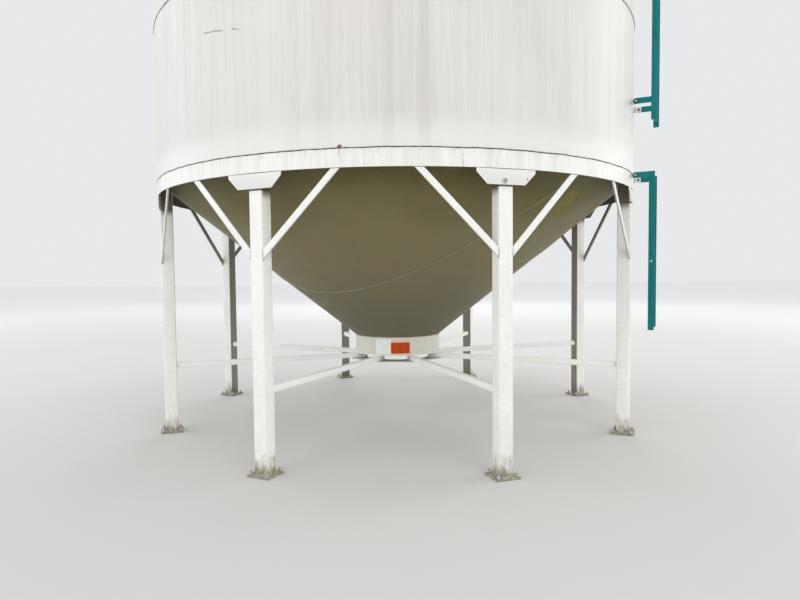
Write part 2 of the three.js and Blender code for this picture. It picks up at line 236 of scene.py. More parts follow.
class Number:
    """A number that varies over the surface. Sums and products of it become nodes of its paint."""

    def __init__(self, paint, socket):
        self.paint, self.socket = paint, socket

    def __add__(self, other):
        return self.paint.calc("ADD", self, other)

    def __sub__(self, other):
        return self.paint.calc("SUBTRACT", self, other)

    def __mul__(self, other):
        return self.paint.calc("MULTIPLY", self, other)

    def __truediv__(self, other):
        return self.paint.calc("DIVIDE", self, other)

    def __abs__(self):
        return self.paint.calc("ABSOLUTE", self)


class Paint:
    """One material's nodes. Positions are in metres in the silo's own frame."""

    def __init__(self, name, roughness=0.5, metallic=0.0, coat=0.0, specular=0.5):
        self.material = bpy.data.materials.new(name)
        self.material.use_nodes = True
        self.tree = self.material.node_tree
        self.tree.nodes.clear()
        values = {"Roughness": roughness, "Metallic": metallic}
        values |= {"Coat Weight": coat, "Specular IOR Level": specular}
        self.surface = self.node("BsdfPrincipled", values)
        self.node("OutputMaterial", [self.surface.outputs[0]])
        coordinates = self.node("TexCoord").outputs
        self.place, self.normal = coordinates["Object"], coordinates["Normal"]
        self.tint = None

    def node(self, kind, values=(), **settings):
        """A new node with its settings, and its inputs by name or number."""
        node = self.tree.nodes.new("ShaderNode" + kind)
        for name, setting in settings.items():
            setattr(node, name, setting)
        for key, value in values.items() if isinstance(values, dict) else enumerate(values):
            self.put(node.inputs[key], value)
        return node

    def put(self, socket, value):
        if isinstance(value, Number):
            value = value.socket
        if isinstance(value, bpy.types.NodeSocket):
            self.tree.links.new(value, socket)
        else:
            socket.default_value = (*value, 1.0) if socket.type == "RGBA" else value

    def calc(self, operation, *values):
        return Number(self, self.node("Math", values, operation=operation).outputs[0])

    def vector(self, operation, *values):
        node = self.node("VectorMath", values, operation=operation)
        if operation in ("DOT_PRODUCT", "DISTANCE", "LENGTH"):
            return Number(self, node.outputs["Value"])
        return node.outputs["Vector"]

    def join(self, *values):
        return self.node("CombineXYZ", values).outputs[0]

    @cached_property
    def split(self):
        return [Number(self, socket) for socket in self.node("SeparateXYZ", [self.place]).outputs]

    @cached_property
    def x(self):
        """Distance from the axis along x."""
        return self.split[0] - AXIS.x

    @cached_property
    def y(self):
        """Distance from the axis along y."""
        return self.split[1] - AXIS.y

    @cached_property
    def height(self):
        return self.split[2]

    @cached_property
    def radius(self):
        return self.calc("MAXIMUM", self.calc("SQRT", self.x * self.x + self.y * self.y), MM)

    @cached_property
    def azimuth(self):
        return self.calc("ARCTAN2", self.x, self.y * -1.0)

    @cached_property
    def leg_parts(self):
        """How far aside from the nearest leg's middle, and how far from the axis along its radius."""
        turn = self.calc("FLOORED_MODULO", self.azimuth, LEG_PITCH) - LEG_PITCH / 2
        return abs(self.radius * self.calc("SINE", turn)), self.radius * self.calc("COSINE", turn)

    @cached_property
    def away(self):
        """The level direction away from the axis, as its parts along x and y."""
        return self.x / self.radius, self.y / self.radius

    @cached_property
    def facing_out(self):
        """1 on a face that looks straight away from the axis, -1 on one that looks straight at it."""
        return self.vector("DOT_PRODUCT", self.join(*self.away), self.normal)

    def noise(self, vector, scale=1.0, detail=3.0, roughness=0.55):
        values = {"Vector": vector, "Scale": scale, "Detail": detail, "Roughness": roughness}
        return Number(self, self.node("TexNoise", values).outputs[0])

    def grain(self, scale, detail=3.0, roughness=0.55):
        """Noise that is as long as wide, with so many features to the metre."""
        return self.noise(self.place, scale, detail, roughness)

    def bars(self, across, upward, detail=3.0, roughness=0.55):
        """Noise for upright bars: fine across, long up and down."""
        drawn = self.vector("MULTIPLY", self.place, (across, across, upward))
        return self.noise(drawn, 1.0, detail, roughness)

    def rain(self, across, upward, scale=1.0, detail=3.0, roughness=0.55):
        """Noise that runs round the bin and up it, with so many features to the metre each way."""
        count = across * BIN_RADIUS
        east, north = self.away
        around = self.join(east * count, north * count, self.height * upward)
        return self.noise(around, scale, detail, roughness)

    def rise(self, value, low, high, start=0.0, end=1.0):
        """Goes smoothly from start to end while the value goes from low to high."""
        values = {"Value": value, "From Min": low, "From Max": high, "To Min": start, "To Max": end}
        return Number(self, self.node("MapRange", values, interpolation_type="SMOOTHSTEP").outputs[0])

    def spot(self, centre, radius, ragged=0.5, where=None):
        """1 inside a ragged round spot, 0 outside it."""
        away = self.vector("DISTANCE", where or self.place, tuple(centre))
        return self.rise(away + self.grain(2.2 / radius) * (ragged * radius), radius * 1.25, radius * 0.65)

    def run(self, centre, azimuth, half_width, length):
        """1 along a streak that hangs below a point and fades away downwards."""
        offset = self.vector("SUBTRACT", self.place, tuple(centre))
        across = self.vector("DOT_PRODUCT", offset, tuple(sideways(azimuth)))
        outside = self.vector("DOT_PRODUCT", offset, tuple(outward(azimuth)))
        wander = (self.bars(60, 25) - 0.5) * (half_width * 3)
        narrow = self.rise(abs(across + wander), half_width, 0.0)
        near = self.rise(abs(outside), 0.12, 0.08)
        below = self.rise(self.height, centre.z - length, centre.z - length * 0.2)
        return narrow * near * (below * self.rise(self.height, centre.z + half_width, centre.z))

    def mix(self, share, first, second):
        values = {0: share, 6: first, 7: second}
        return self.node("Mix", values, data_type="RGBA", clamp_factor=True).outputs[2]

    def base(self, pattern, low, high, first, second):
        """Starts with two colours, by where a pattern lies between low and high."""
        self.tint = self.mix(self.rise(pattern, low, high), first, second)

    def over(self, share, tint):
        """Lays a colour over what is there, by a share."""
        self.tint = self.mix(share, self.tint, tint)

    def layer(self, pattern, low, high, share, tint):
        """Lays a colour on, up to a share, where a pattern goes from low to high."""
        self.over(self.rise(pattern, low, high, 0.0, share), tint)

    def gloss(self, *given):
        self.put(self.surface.inputs["Roughness"], self.rise(*given))

    def relief(self, height, distance, strength=0.3):
        values = {"Strength": strength, "Distance": distance, "Height": height}
        self.put(self.surface.inputs["Normal"], self.node("Bump", values).outputs[0])

    def finish(self):
        self.put(self.surface.inputs["Base Color"], self.tint)
        return self.material


STREAK_GREY = (0.60, 0.585, 0.53)
STREAK_PINK = (0.70, 0.625, 0.60)
STREAK_DARK = (0.50, 0.49, 0.46)
STREAK_WASHED = (0.84, 0.835, 0.81)
RUST_DARK = (0.10, 0.035, 0.015)
RUST_PALE = (0.50, 0.27, 0.18)
RUST_ORANGE = (0.27, 0.11, 0.04)
WALL_BLUSH = (0.73, 0.63, 0.60)
WALL_BROWN = (0.56, 0.50, 0.42)

# Where the marks are, each placed on the piece that carries it

SKIRT_RUST_AZIMUTH = math.radians(-6.28)
SKIRT_RUST = place(SKIRT_RUST_AZIMUTH, SKIRT_RADIUS, SKIRT_TOP + 14 * MM)
SKIRT_PATCH_AZIMUTH = math.radians(45.4)
CAP_RUST_AZIMUTH = 0.5 * LEG_PITCH
CAP_RUST = place(CAP_RUST_AZIMUTH, CAP_FACE, 1926 * MM, -12 * MM)
CAP_CHIP = place(CAP_RUST_AZIMUTH, CAP_FACE, 1941 * MM, 153 * MM)
CAP_CHIP_STEP = Vector((2.5 * MM, 0, -5 * MM))
SCUFF_AZIMUTHS = math.radians(-34.4), math.radians(-25.0)
SCUFF_HEIGHTS = 2989 * MM, 2936 * MM
SCUFF_GAP = 0.69
WALL_DOT = place(math.radians(-11.7), BIN_RADIUS, 2963 * MM)
LADDER_DOT = place(LADDER_AZIMUTH, LOWER_LADDER_FROM_AXIS, 1.42, -(LADDER_WIDTH + RAIL_THICKNESS) / 2)
BRACE_END = Vector((LEG_SIZE / 2 + 4 * MM, LEG_FACE - 8 * MM, KNEE_LOW - 34 * MM))
FOOT_CORNER = Vector((46 * MM, LEG_FACE - 8 * MM, FOOT_THICKNESS))
# Middle and half width in degrees, height of the lower end, colour and share
WALL_TINTS = (
    (-3.7, 7.5, 2.75, WALL_BLUSH, 0.28),
    (8.0, 1.3, SKIRT_TOP, WALL_BROWN, 0.34),
    (2.0, 1.4, SKIRT_TOP, WALL_BROWN, 0.25),
    (-9.2, 2.3, SKIRT_TOP, WALL_BROWN, 0.11),
    (-14.2, 1.3, SKIRT_TOP, WALL_BROWN, 0.18),
)
# Azimuth in degrees, height in metres and radius in mm
CONE_DOTS = ((5.5, 1.852, 7), (22.4, 1.864, 6), (38.3, 1.863, 11), (-28.0, 1.42, 6), (60.0, 1.2, 6))
STAIN_AZIMUTH = math.radians(49.7)
STAIN_LOW, STAIN_MIDDLE, STAIN_HIGH = 1.778, 1.861, 1.943
STAIN_LEAN = 0.508
STAIN_HALF_WIDTH = 68 * MM


def wall_paint(name, clean, dull, broad, medium, fine):
    """Chalky off-white paint on rolled sheet, with faint rain streaks of three widths down it."""
    paint = Paint(name, coat=0.05)
    paint.base(paint.rain(1.1, 0.6, detail=4.0), 0.35, 0.68, clean, dull)
    paint.layer(paint.rain(6.0, 0.25), 0.45, 0.74, broad, STREAK_GREY)
    paint.layer(paint.rain(5.0, 0.3, 1.7, 2.0), 0.58, 0.78, broad, STREAK_PINK)
    paint.layer(paint.rain(13.0, 0.35, detail=2.0), 0.48, 0.72, medium, STREAK_GREY)
    narrow = paint.rain(30.0, 0.7, roughness=0.6)
    paint.layer(narrow, 0.5, 0.74, medium, STREAK_DARK)
    threads = paint.rain(110.0, 3.0, roughness=0.65)
    paint.layer(threads, 0.46, 0.74, fine, STREAK_DARK)
    paint.layer(paint.rain(75.0, 1.4, 1.3), 0.55, 0.75, fine, STREAK_WASHED)
    paint.layer(paint.grain(130.0, 3.0, 0.7), 0.48, 0.74, 0.26, STREAK_DARK)
    paint.layer(paint.grain(95.0, 2.0), 0.76, 0.82, 0.5, (0.34, 0.31, 0.26))
    paint.gloss(narrow, 0.3, 0.8, 0.42, 0.62)
    paint.relief(paint.grain(260.0, 2.0) * 0.35 + threads, 0.4 * MM)
    return paint


def scuff(paint):
    """A thin wavy scratch round the wall, broken once."""
    start, end = SCUFF_AZIMUTHS
    along = (paint.azimuth - start) / (end - start)
    level = along * (SCUFF_HEIGHTS[1] - SCUFF_HEIGHTS[0]) + SCUFF_HEIGHTS[0]
    wave = (paint.rain(9.0, 0.0) - 0.5) * 0.04
    line = paint.rise(abs(paint.height - (level + wave)), 6.5 * MM, 2 * MM)
    for low, high in ((-0.02, 0.03), (1.02, 0.97)):
        line = line * paint.rise(along, low, high)
    gap = paint.rise(abs(along - SCUFF_GAP), 0.10, 0.15)
    worn = paint.rise(paint.grain(30.0, 2.0), 0.3, 0.5, 0.35, 1.0)
    paint.over(line * gap * worn * 0.9, (0.28, 0.22, 0.18))


def make_wall_material():
    paint = wall_paint("wall_sheet_paint", (0.712, 0.706, 0.686), (0.668, 0.66, 0.637), 0.3, 0.22, 0.26)
    paint.layer(paint.height, SKIRT_TOP + 0.24, SKIRT_TOP + 0.05, 0.75, (0.80, 0.795, 0.77))
    for middle, half_width, low, tint, share in WALL_TINTS:
        reach = math.radians(half_width)
        near = paint.rise(abs(paint.azimuth - math.radians(middle)), reach, reach * 0.5)
        paint.over(near * paint.rise(paint.height, low - 0.1, low + 0.15) * share, tint)
    scuff(paint)
    paint.over(paint.spot(WALL_DOT, 6 * MM, 0.6), (0.25, 0.22, 0.20))
    paint.over(paint.spot(SKIRT_RUST, 17 * MM, 0.8), RUST_ORANGE)
    return paint.finish()


def make_skirt_material():
    paint = wall_paint("skirt_band_paint", (0.89, 0.885, 0.863), (0.85, 0.845, 0.818), 0.15, 0.22, 0.32)
    comb = paint.rise(paint.rain(60.0, 0.6), 0.42, 0.72)
    drip = paint.rise(paint.height, SKIRT_TOP - 0.07, SKIRT_TOP)
    paint.over(drip * comb * 0.3, (0.46, 0.445, 0.41))
    # Painted shade: faces that look in towards the axis, the skirt's inner side, are painted near black.
    paint.layer(paint.facing_out, -0.2, -0.6, 0.92, (0.075, 0.072, 0.05))
    paint.over(paint.run(SKIRT_RUST, SKIRT_RUST_AZIMUTH, 7 * MM, 110 * MM) * 0.6, RUST_PALE)
    paint.over(paint.spot(SKIRT_RUST, 15 * MM, 0.8), RUST_DARK)
    return paint.finish()


def mark_caps(paint):
    """Painted light about the caps: a painted highlight along each cap's sides and bottom, a painted shadow
    line and a fading painted shade on the leg under each cap, and dark painted shade on the leg's sides
    behind it; painted shade on inward faces at the back and on downward faces; and the rusty mark on one cap.
    """
    aside, distance = paint.leg_parts
    height = paint.height
    half = LEG_SIZE / 2
    # Painted highlight: each cap's face is greyed inside a band along its sides and bottom, so those rounded
    # edges stay bright.
    on_cap = paint.rise(distance, LEG_FACE - 4 * MM, LEG_FACE - 3 * MM)
    on_cap = on_cap * paint.rise(height, CAP_LOW - MM, CAP_LOW)
    lean = (CAP_HALF_TOP - CAP_HALF_BOTTOM) / (CAP_HEIGHT - CAP_SIDE)
    beyond = aside - paint.calc("MULTIPLY_ADD", height, lean, CAP_HALF_BOTTOM - CAP_LOW * lean)
    inner = paint.rise(beyond, -7 * MM, -15 * MM) * paint.rise(height, CAP_LOW + 4 * MM, CAP_LOW + 10 * MM)
    inner = inner * paint.rise(aside, CAP_HALF_TOP - 4 * MM, CAP_HALF_TOP - 10 * MM)
    paint.over(on_cap * inner * 0.8, (0.76, 0.755, 0.735))
    # Painted shade on the leg under each cap: a shade fading out some 60 mm down, and a near-black painted
    # shadow line just under the cap's edge.
    on_leg = paint.rise(aside, half + 3 * MM, half + 2 * MM)
    below_cap = on_leg * paint.rise(height, CAP_LOW, CAP_LOW - 0.6 * MM)
    shade_under_cap = paint.rise(height, CAP_LOW - 60 * MM, CAP_LOW)
    paint.over(shade_under_cap * shade_under_cap * below_cap * 0.3, (0.40, 0.37, 0.32))
    line = paint.rise(height, CAP_LOW - 14 * MM, CAP_LOW - 9 * MM)
    paint.over(line * below_cap * 0.95, (0.03, 0.025, 0.02))
    # Painted shade on the leg's sides behind each cap, fading out some 80 mm below the cap.
    on_side = paint.rise(aside, half - 5 * MM, half - MM) * paint.rise(aside, half + 20 * MM, half + 8 * MM)
    shade = on_side * paint.rise(distance, LEG_FACE - 4 * MM, LEG_FACE - 14 * MM)
    shade = shade * paint.rise(height, CAP_LOW - 80 * MM, CAP_LOW + 3 * MM)
    paint.over(shade * 0.95, (0.125, 0.10, 0.05))
    # Painted shade on faces that look in towards the axis at the back, and on downward faces above the
    # braces' low ends.
    downward = paint.vector("DOT_PRODUCT", paint.normal, (0, 0, -1))
    shaded_inward_at_back = paint.rise(paint.facing_out, -0.35, -0.6) * paint.rise(paint.y, -0.4, 0.3)
    underside = paint.rise(downward, 0.25, 0.5) * paint.rise(height, KNEE_LOW - 0.1, KNEE_LOW) * 0.55
    paint.over(paint.calc("MAXIMUM", shaded_inward_at_back, underside) * 0.85, (0.14, 0.13, 0.09))
    paint.over(paint.run(CAP_RUST, CAP_RUST_AZIMUTH, 17 * MM, 95 * MM) * 0.35, (0.70, 0.50, 0.45))
    paint.over(paint.spot(CAP_RUST, 26 * MM, 0.4) * 0.75, (0.36, 0.325, 0.31))
    core = CAP_RUST + Vector((4 * MM, 0, 6 * MM))
    paint.over(paint.spot(core, 16 * MM, 0.7) * 0.75, (0.17, 0.15, 0.145))
    for step in (-1, 0, 1):
        paint.over(paint.spot(CAP_CHIP + CAP_CHIP_STEP * step, 5.5 * MM, 0.6), (0.16, 0.15, 0.13))


def make_frame_material():
    """Brighter, cleaner paint on the legs, caps and braces, dirty towards the ground, with a painted
    highlight and painted shade about the caps and painted shade on inward and downward faces.
    """
    paint = Paint("frame_paint", coat=0.08)
    paint.base(paint.grain(2.6, 4.0), 0.35, 0.7, (0.91, 0.905, 0.878), (0.87, 0.865, 0.832))
    streaks = paint.bars(75.0, 2.4, 4.0, 0.6)
    paint.layer(streaks, 0.5, 0.74, 0.24, (0.66, 0.65, 0.61))
    paint.layer(paint.grain(110.0, 3.0, 0.7), 0.5, 0.76, 0.2, (0.62, 0.60, 0.54))
    paint.layer(paint.grain(34.0, 3.0, 0.6), 0.5, 0.72, 0.22, (0.60, 0.58, 0.52))
    paint.layer(paint.grain(85.0), 0.69, 0.76, 0.6, (0.33, 0.29, 0.22))
    splash = paint.height + paint.bars(34.0, 12.0, 5.0, 0.65) * -0.34
    paint.layer(splash, 0.0, -0.15, 0.8, (0.36, 0.32, 0.22))
    paint.layer(splash, -0.09, -0.18, 0.65, (0.16, 0.15, 0.08))
    leg = paint.join(*paint.leg_parts, paint.height)
    paint.over(paint.spot(FOOT_CORNER, 24 * MM, 1.2, leg) * 0.7, RUST_DARK)
    paint.over(paint.spot(BRACE_END, 15 * MM, 1.0, leg) * 0.75, (0.24, 0.19, 0.15))
    mark_caps(paint)
    paint.gloss(streaks, 0.3, 0.8, 0.38, 0.6)
    paint.relief(paint.grain(240.0), 0.3 * MM)
    return paint.finish()


def make_cone_material():
    """Off-white paint under painted shade: dark khaki all over for the bin's shade tinted by the ground's
    bounce, lighter near the collar and darkest up in the corner under the skirt.
    """
    paint = Paint("hopper_paint", specular=0.3)
    height = paint.height
    level = height + (paint.grain(1.3) - 0.5) * 0.5
    # Painted shade: khaki from the collar up, darker above 1.55 m, and darkest by the rim under the skirt.
    paint.base(level, COLLAR_TOP, 1.5, (0.163, 0.151, 0.102), (0.216, 0.188, 0.094))
    paint.layer(level, 1.55, 2.1, 1.0, (0.118, 0.099, 0.020))
    paint.layer(height, 1.88, 2.06, 0.4, (0.05, 0.045, 0.022))
    mottle = paint.grain(5.5, 5.0, 0.6)
    paint.layer(mottle, 0.45, 0.75, 0.3, (0.235, 0.190, 0.105))
    paint.layer(paint.rain(16.0, 1.2, detail=4.0, roughness=0.6), 0.52, 0.74, 0.12, (0.13, 0.118, 0.07))
    paint.layer(paint.grain(90.0, 4.0, 0.7), 0.48, 0.74, 0.22, (0.27, 0.25, 0.17))
    side, front = sideways(STAIN_AZIMUTH), outward(STAIN_AZIMUTH)
    across = paint.x * side.x + paint.y * side.y
    drawn = paint.calc("MULTIPLY_ADD", height, STAIN_LEAN, -STAIN_MIDDLE * STAIN_LEAN)
    offset = abs(across + drawn + (paint.grain(22.0) - 0.5) * 0.03)
    body = paint.rise(offset, STAIN_HALF_WIDTH + 7 * MM, STAIN_HALF_WIDTH - 7 * MM)
    body = body * paint.rise(paint.x * front.x + paint.y * front.y, 0.0, 0.2)
    ends = paint.rise(height, STAIN_LOW - 7 * MM, STAIN_LOW + 7 * MM)
    ends = ends * paint.rise(height, STAIN_HIGH + 9 * MM, STAIN_HIGH - 9 * MM)
    paint.over(body * ends * 0.85, (0.195, 0.163, 0.002))
    for degrees, dot_height, size in CONE_DOTS:
        reach = COLLAR_RADIUS + (dot_height - COLLAR_TOP) / CONE_SLOPE
        mark = paint.spot(place(math.radians(degrees), reach, dot_height), size * MM, 0.8)
        paint.over(mark * 0.7, (0.05, 0.04, 0.02))
    paint.gloss(mottle, 0.3, 0.8, 0.5, 0.68)
    paint.relief(paint.grain(200.0), 0.4 * MM)
    return paint.finish()


def make_collar_material():
    paint = Paint("collar_paint", coat=0.05)
    clouds = paint.grain(7.0, 4.0)
    paint.base(clouds, 0.35, 0.7, (0.73, 0.715, 0.645), (0.66, 0.645, 0.575))
    paint.layer(paint.rain(60.0, 6.0, detail=4.0), 0.5, 0.75, 0.25, (0.50, 0.48, 0.41))
    level = paint.height + paint.bars(40.0, 40.0, 4.0) * 0.03
    paint.layer(level, COLLAR_BOTTOM + 32 * MM, COLLAR_BOTTOM + 12 * MM, 0.25, (0.45, 0.43, 0.36))
    # Painted highlight: a bright band along the collar's lower rim.
    paint.layer(paint.height, COLLAR_BOTTOM + 14 * MM, COLLAR_BOTTOM + 8 * MM, 0.8, (0.90, 0.885, 0.84))
    paint.layer(paint.grain(150.0, 2.0), 0.72, 0.78, 0.5, (0.30, 0.27, 0.21))
    paint.gloss(paint.rise(clouds, 0.35, 0.7), 0.0, 1.0, 0.45, 0.58)
    paint.relief(paint.grain(240.0), 0.3 * MM)
    return paint.finish()


def make_tie_material(name, bright, dim):
    paint = Paint(name, coat=0.05)
    paint.base(paint.grain(3.5, 4.0), 0.35, 0.7, bright, dim)
    dust = paint.grain(42.0, 5.0, 0.65)
    paint.layer(dust, 0.5, 0.75, 0.15, (0.55, 0.52, 0.44))
    paint.layer(paint.grain(140.0, 2.0), 0.7, 0.77, 0.6, (0.26, 0.21, 0.14))
    paint.gloss(dust, 0.3, 0.8, 0.45, 0.65)
    paint.relief(dust, 0.3 * MM)
    return paint.finish()


def make_teal_material():
    """Teal paint, chalked in places, with chips down to grey primer."""
    paint = Paint("ladder_paint", specular=0.2)
    paint.base(paint.bars(9.0, 1.6, 4.0), 0.35, 0.7, (0.0, 0.160, 0.164), (0.004, 0.195, 0.198))
    paint.layer(paint.bars(60.0, 9.0, 4.0, 0.6), 0.52, 0.76, 0.5, (0.004, 0.085, 0.084))
    dust = paint.grain(24.0, 5.0, 0.6)
    paint.layer(dust, 0.56, 0.78, 0.25, (0.10, 0.26, 0.25))
    paint.layer(paint.grain(75.0, 3.0, 0.6), 0.70, 0.73, 1.0, (0.28, 0.27, 0.25))
    paint.over(paint.spot(LADDER_DOT, 9 * MM), (0.75, 0.74, 0.71))
    paint.gloss(dust, 0.3, 0.8, 0.4, 0.6)
    paint.relief(paint.grain(220.0), 0.3 * MM)
    return paint.finish()


def make_zinc_material():
    paint = Paint("bolt_zinc", metallic=0.85)
    wear = paint.grain(170.0, 4.0, 0.6)
    paint.base(wear, 0.35, 0.7, (0.62, 0.62, 0.60), (0.38, 0.37, 0.35))
    paint.layer(paint.grain(60.0), 0.6, 0.74, 0.7, (0.22, 0.12, 0.07))
    paint.gloss(wear, 0.3, 0.75, 0.32, 0.55)
    paint.relief(wear, 0.2 * MM)
    return paint.finish()


def make_rust_material():
    paint = Paint("rust", roughness=0.85)
    grain = paint.grain(220.0, 4.0, 0.65)
    paint.base(grain, 0.35, 0.7, (0.13, 0.05, 0.02), (0.33, 0.145, 0.06))
    paint.relief(grain, 0.6 * MM, 0.6)
    return paint.finish()


def make_bead_material(name, clean, dirt, share):
    """A weld bead, a seam line or a dull bolt, with dirt lodged in its clean colour."""
    paint = Paint(name)
    lodged = paint.grain(26.0, 4.0, 0.65)
    paint.base(lodged, share, share + 0.22, dirt, clean)
    paint.gloss(lodged, 0.3, 0.7, 0.6, 0.5)
    paint.relief(paint.grain(300.0), 0.4 * MM, 0.4)
    return paint.finish()


def make_patch_material(name, fresh, faded, roughness=0.4):
    """A plain patch of vinyl or touch-up paint, a little faded and dusty."""
    paint = Paint(name, roughness=roughness, specular=0.2)
    paint.base(paint.grain(34.0, 4.0), 0.35, 0.7, fresh, faded)
    dust = paint.grain(160.0)
    paint.layer(dust, 0.6, 0.75, 0.2, (0.62, 0.58, 0.50))
    paint.relief(dust, 0.1 * MM, 0.2)
    return paint.finish()


WALL = make_wall_material()
SKIRT = make_skirt_material()
ROOF = wall_paint("roof_paint", (0.74, 0.73, 0.70), (0.66, 0.65, 0.61), 0.4, 0.3, 0.2).finish()
FRAME = make_frame_material()
CONE = make_cone_material()
COLLAR = make_collar_material()
TIE = make_tie_material("tie_paint", (0.95, 0.945, 0.92), (0.92, 0.91, 0.88))
HUB = make_tie_material("hub_paint", (0.60, 0.60, 0.53), (0.50, 0.50, 0.44))
TEAL = make_teal_material()
ZINC = make_zinc_material()
RUST = make_rust_material()
# DARK_LINE's darkness is partly painted shadow where it runs round the skirt's top and along the caps' tops.
DARK_LINE = make_bead_material("skirt_top_weld_paint", (0.26, 0.25, 0.235), (0.06, 0.055, 0.048), 0.5)
GREY_LINE = make_bead_material("course_weld_paint", (0.42, 0.41, 0.385), (0.15, 0.145, 0.13), 0.5)
FRAME_WELD = make_bead_material("frame_weld_paint", (0.72, 0.71, 0.68), (0.36, 0.34, 0.29), 0.42)
# The hopper's weld colours carry the same painted khaki shade as the hopper.
CONE_WELD = make_bead_material("hopper_weld_paint", (0.33, 0.31, 0.225), (0.26, 0.24, 0.165), 0.36)
DARK_STEEL = make_bead_material("dark_bolt_steel", (0.10, 0.10, 0.095), (0.035, 0.032, 0.03), 0.45)
TOUCH_UP = make_patch_material("touch_up_paint", (0.90, 0.90, 0.89), (0.86, 0.86, 0.84))
PALE_PATCH = make_patch_material("pale_patch_vinyl", (0.90, 0.905, 0.89), (0.80, 0.84, 0.82), 0.35)
ORANGE_PATCH = make_patch_material("orange_patch_vinyl", (0.52, 0.048, 0.001), (0.57, 0.066, 0.003))
PEACH_BORDER = make_patch_material("peach_border_vinyl", (0.86, 0.55, 0.42), (0.80, 0.60, 0.50))


# Shapes: each returns corner points and faces


def turned(profile, segments=256, shift=None):
    """A loop of (radius, height) points turned about z. A radius of 0 is a point on the axis."""
    points, faces, rows = [], [], []
    for index in range(segments):
        azimuth = TURN * index / segments
        row = []
        for number, (radius, height) in enumerate(profile):
            if radius < 1e-7 and index:
                row.append(rows[0][number])
                continue
            extra = shift(azimuth, radius, height) if shift else 0.0
            points.append(outward(azimuth) * (radius + extra) + Vector((0, 0, height)))
            row.append(len(points) - 1)
        rows.append(row)
    for index in range(segments):
        here, there = rows[index], rows[(index + 1) % segments]
        for number in range(len(profile)):
            after = (number + 1) % len(profile)
            corners = dict.fromkeys((here[number], there[number], there[after], here[after]))
            if len(corners) > 2:
                faces.append(tuple(corners))
    return points, faces


def rounded_rectangle(width, depth, radius, steps=4, middle=(0, 0)):
    points = []
    for quarter, (sx, sy) in enumerate(((1, 1), (-1, 1), (-1, -1), (1, -1))):
        centre = Vector((sx * (width / 2 - radius), sy * (depth / 2 - radius)))
        for step in range(steps + 1):
            angle = math.pi / 2 * (quarter + step / steps)
            points.append(centre + radius * Vector((math.cos(angle), math.sin(angle))) + Vector(middle))
    return points


def circle(radius, steps):
    angles = [TURN * step / steps for step in range(steps)]
    return [Vector((radius * math.cos(angle), radius * math.sin(angle))) for angle in angles]


def joined(start, end):
    """A solid between two loops of points that go the same way round."""
    count = len(start)
    faces = [(i, (i + 1) % count, count + (i + 1) % count, count + i) for i in range(count)]
    faces += [tuple(range(count - 1, -1, -1)), tuple(range(count, 2 * count))]
    return start + end, faces


def prism(outline, low, high):
    """An outline extruded up from low. high is a height, or a function that gives one for a point."""
    top = [Vector((p.x, p.y, high(p) if callable(high) else high)) for p in outline]
    return joined([Vector((p.x, p.y, low)) for p in outline], top)


def hollow_prism(outer, inner, low, high):
    count = len(outer)
    points = [Vector((p.x, p.y, level)) for level in (low, high) for loop in (outer, inner) for p in loop]
    faces = []
    for i in range(count):
        j = (i + 1) % count
        faces.append((i, j, 2 * count + j, 2 * count + i))
        faces.append((count + j, count + i, 3 * count + i, 3 * count + j))
        faces.append((j, i, count + i, count + j))
        faces.append((2 * count + i, 2 * count + j, 3 * count + j, 3 * count + i))
    return points, faces


def swept(path, radius, sides=8, closed=False, swell=None):
    """A round bar along a path. swell gives a factor on its radius for each point's number."""
    points, faces = [], []
    count = len(path)
    for index, centre in enumerate(path):
        before = path[index - 1] if index or closed else path[index]
        after = path[(index + 1) % count] if index + 1 < count or closed else path[index]
        ahead = (after - before).normalized()
        reference = Vector((0, 0, 1)) if abs(ahead.z) < 0.9 else Vector((1, 0, 0))
        side = ahead.cross(reference).normalized()
        up = side.cross(ahead)
        size = radius * (swell(index) if swell else 1.0)
        for corner in range(sides):
            angle = TURN * corner / sides
            points.append(centre + (side * math.cos(angle) + up * math.sin(angle)) * size)
    for index in range(count if closed else count - 1):
        a, b = index * sides, (index + 1) % count * sides
        for corner in range(sides):
            after = (corner + 1) % sides
            faces.append((a + corner, b + corner, b + after, a + after))
    if not closed:
        faces.append(tuple(range(sides - 1, -1, -1)))
        faces.append(tuple(range((count - 1) * sides, count * sides)))
    return points, faces


def spaced(path, spacing, closed=False):
    """The same path with points at even spacing."""
    corners = list(path) + ([path[0]] if closed else [])
    lengths = [0.0]
    for a, b in zip(corners, corners[1:]):
        lengths.append(lengths[-1] + (b - a).length)
    steps = max(2, round(lengths[-1] / spacing))
    result, part = [], 0
    for step in range(steps if closed else steps + 1):
        wanted = lengths[-1] * step / steps
        while part < len(corners) - 2 and lengths[part + 1] < wanted:
            part += 1
        span = lengths[part + 1] - lengths[part] or 1.0
        result.append(corners[part].lerp(corners[part + 1], (wanted - lengths[part]) / span))
    return result


def hexagon(across_flats):
    return circle(across_flats / math.sqrt(3), 6)


def curved_plate(azimuth, radius, width, height, centre_height, thickness, corner=3 * MM):
    """A thin plate that lies on a cylinder about the silo's axis, with round corners."""
    columns = 16
    half = width / 2
    points = []
    for layer in (-0.2 * MM, thickness):
        for side in spread(-half, half, columns):
            inset = 0.0
            if half - abs(side) < corner:
                inset = corner - math.sqrt(max(0.0, corner ** 2 - (corner - half + abs(side)) ** 2))
            for end in (-1, 1):
                level = centre_height + end * (height / 2 - inset)
                points.append(place(azimuth + side / radius, radius + layer, level))
    row = 2 * (columns + 1)
    last = 2 * columns
    faces = []
    for a in range(0, last, 2):
        faces.append((a, a + 2, a + 3, a + 1))
        faces.append((row + a, row + a + 1, row + a + 3, row + a + 2))
        faces.append((a, row + a, row + a + 2, a + 2))
        faces.append((a + 1, a + 3, row + a + 3, row + a + 1))
    faces += [(0, 1, row + 1, row), (last, row + last, row + last + 1, last + 1)]
    return points, faces


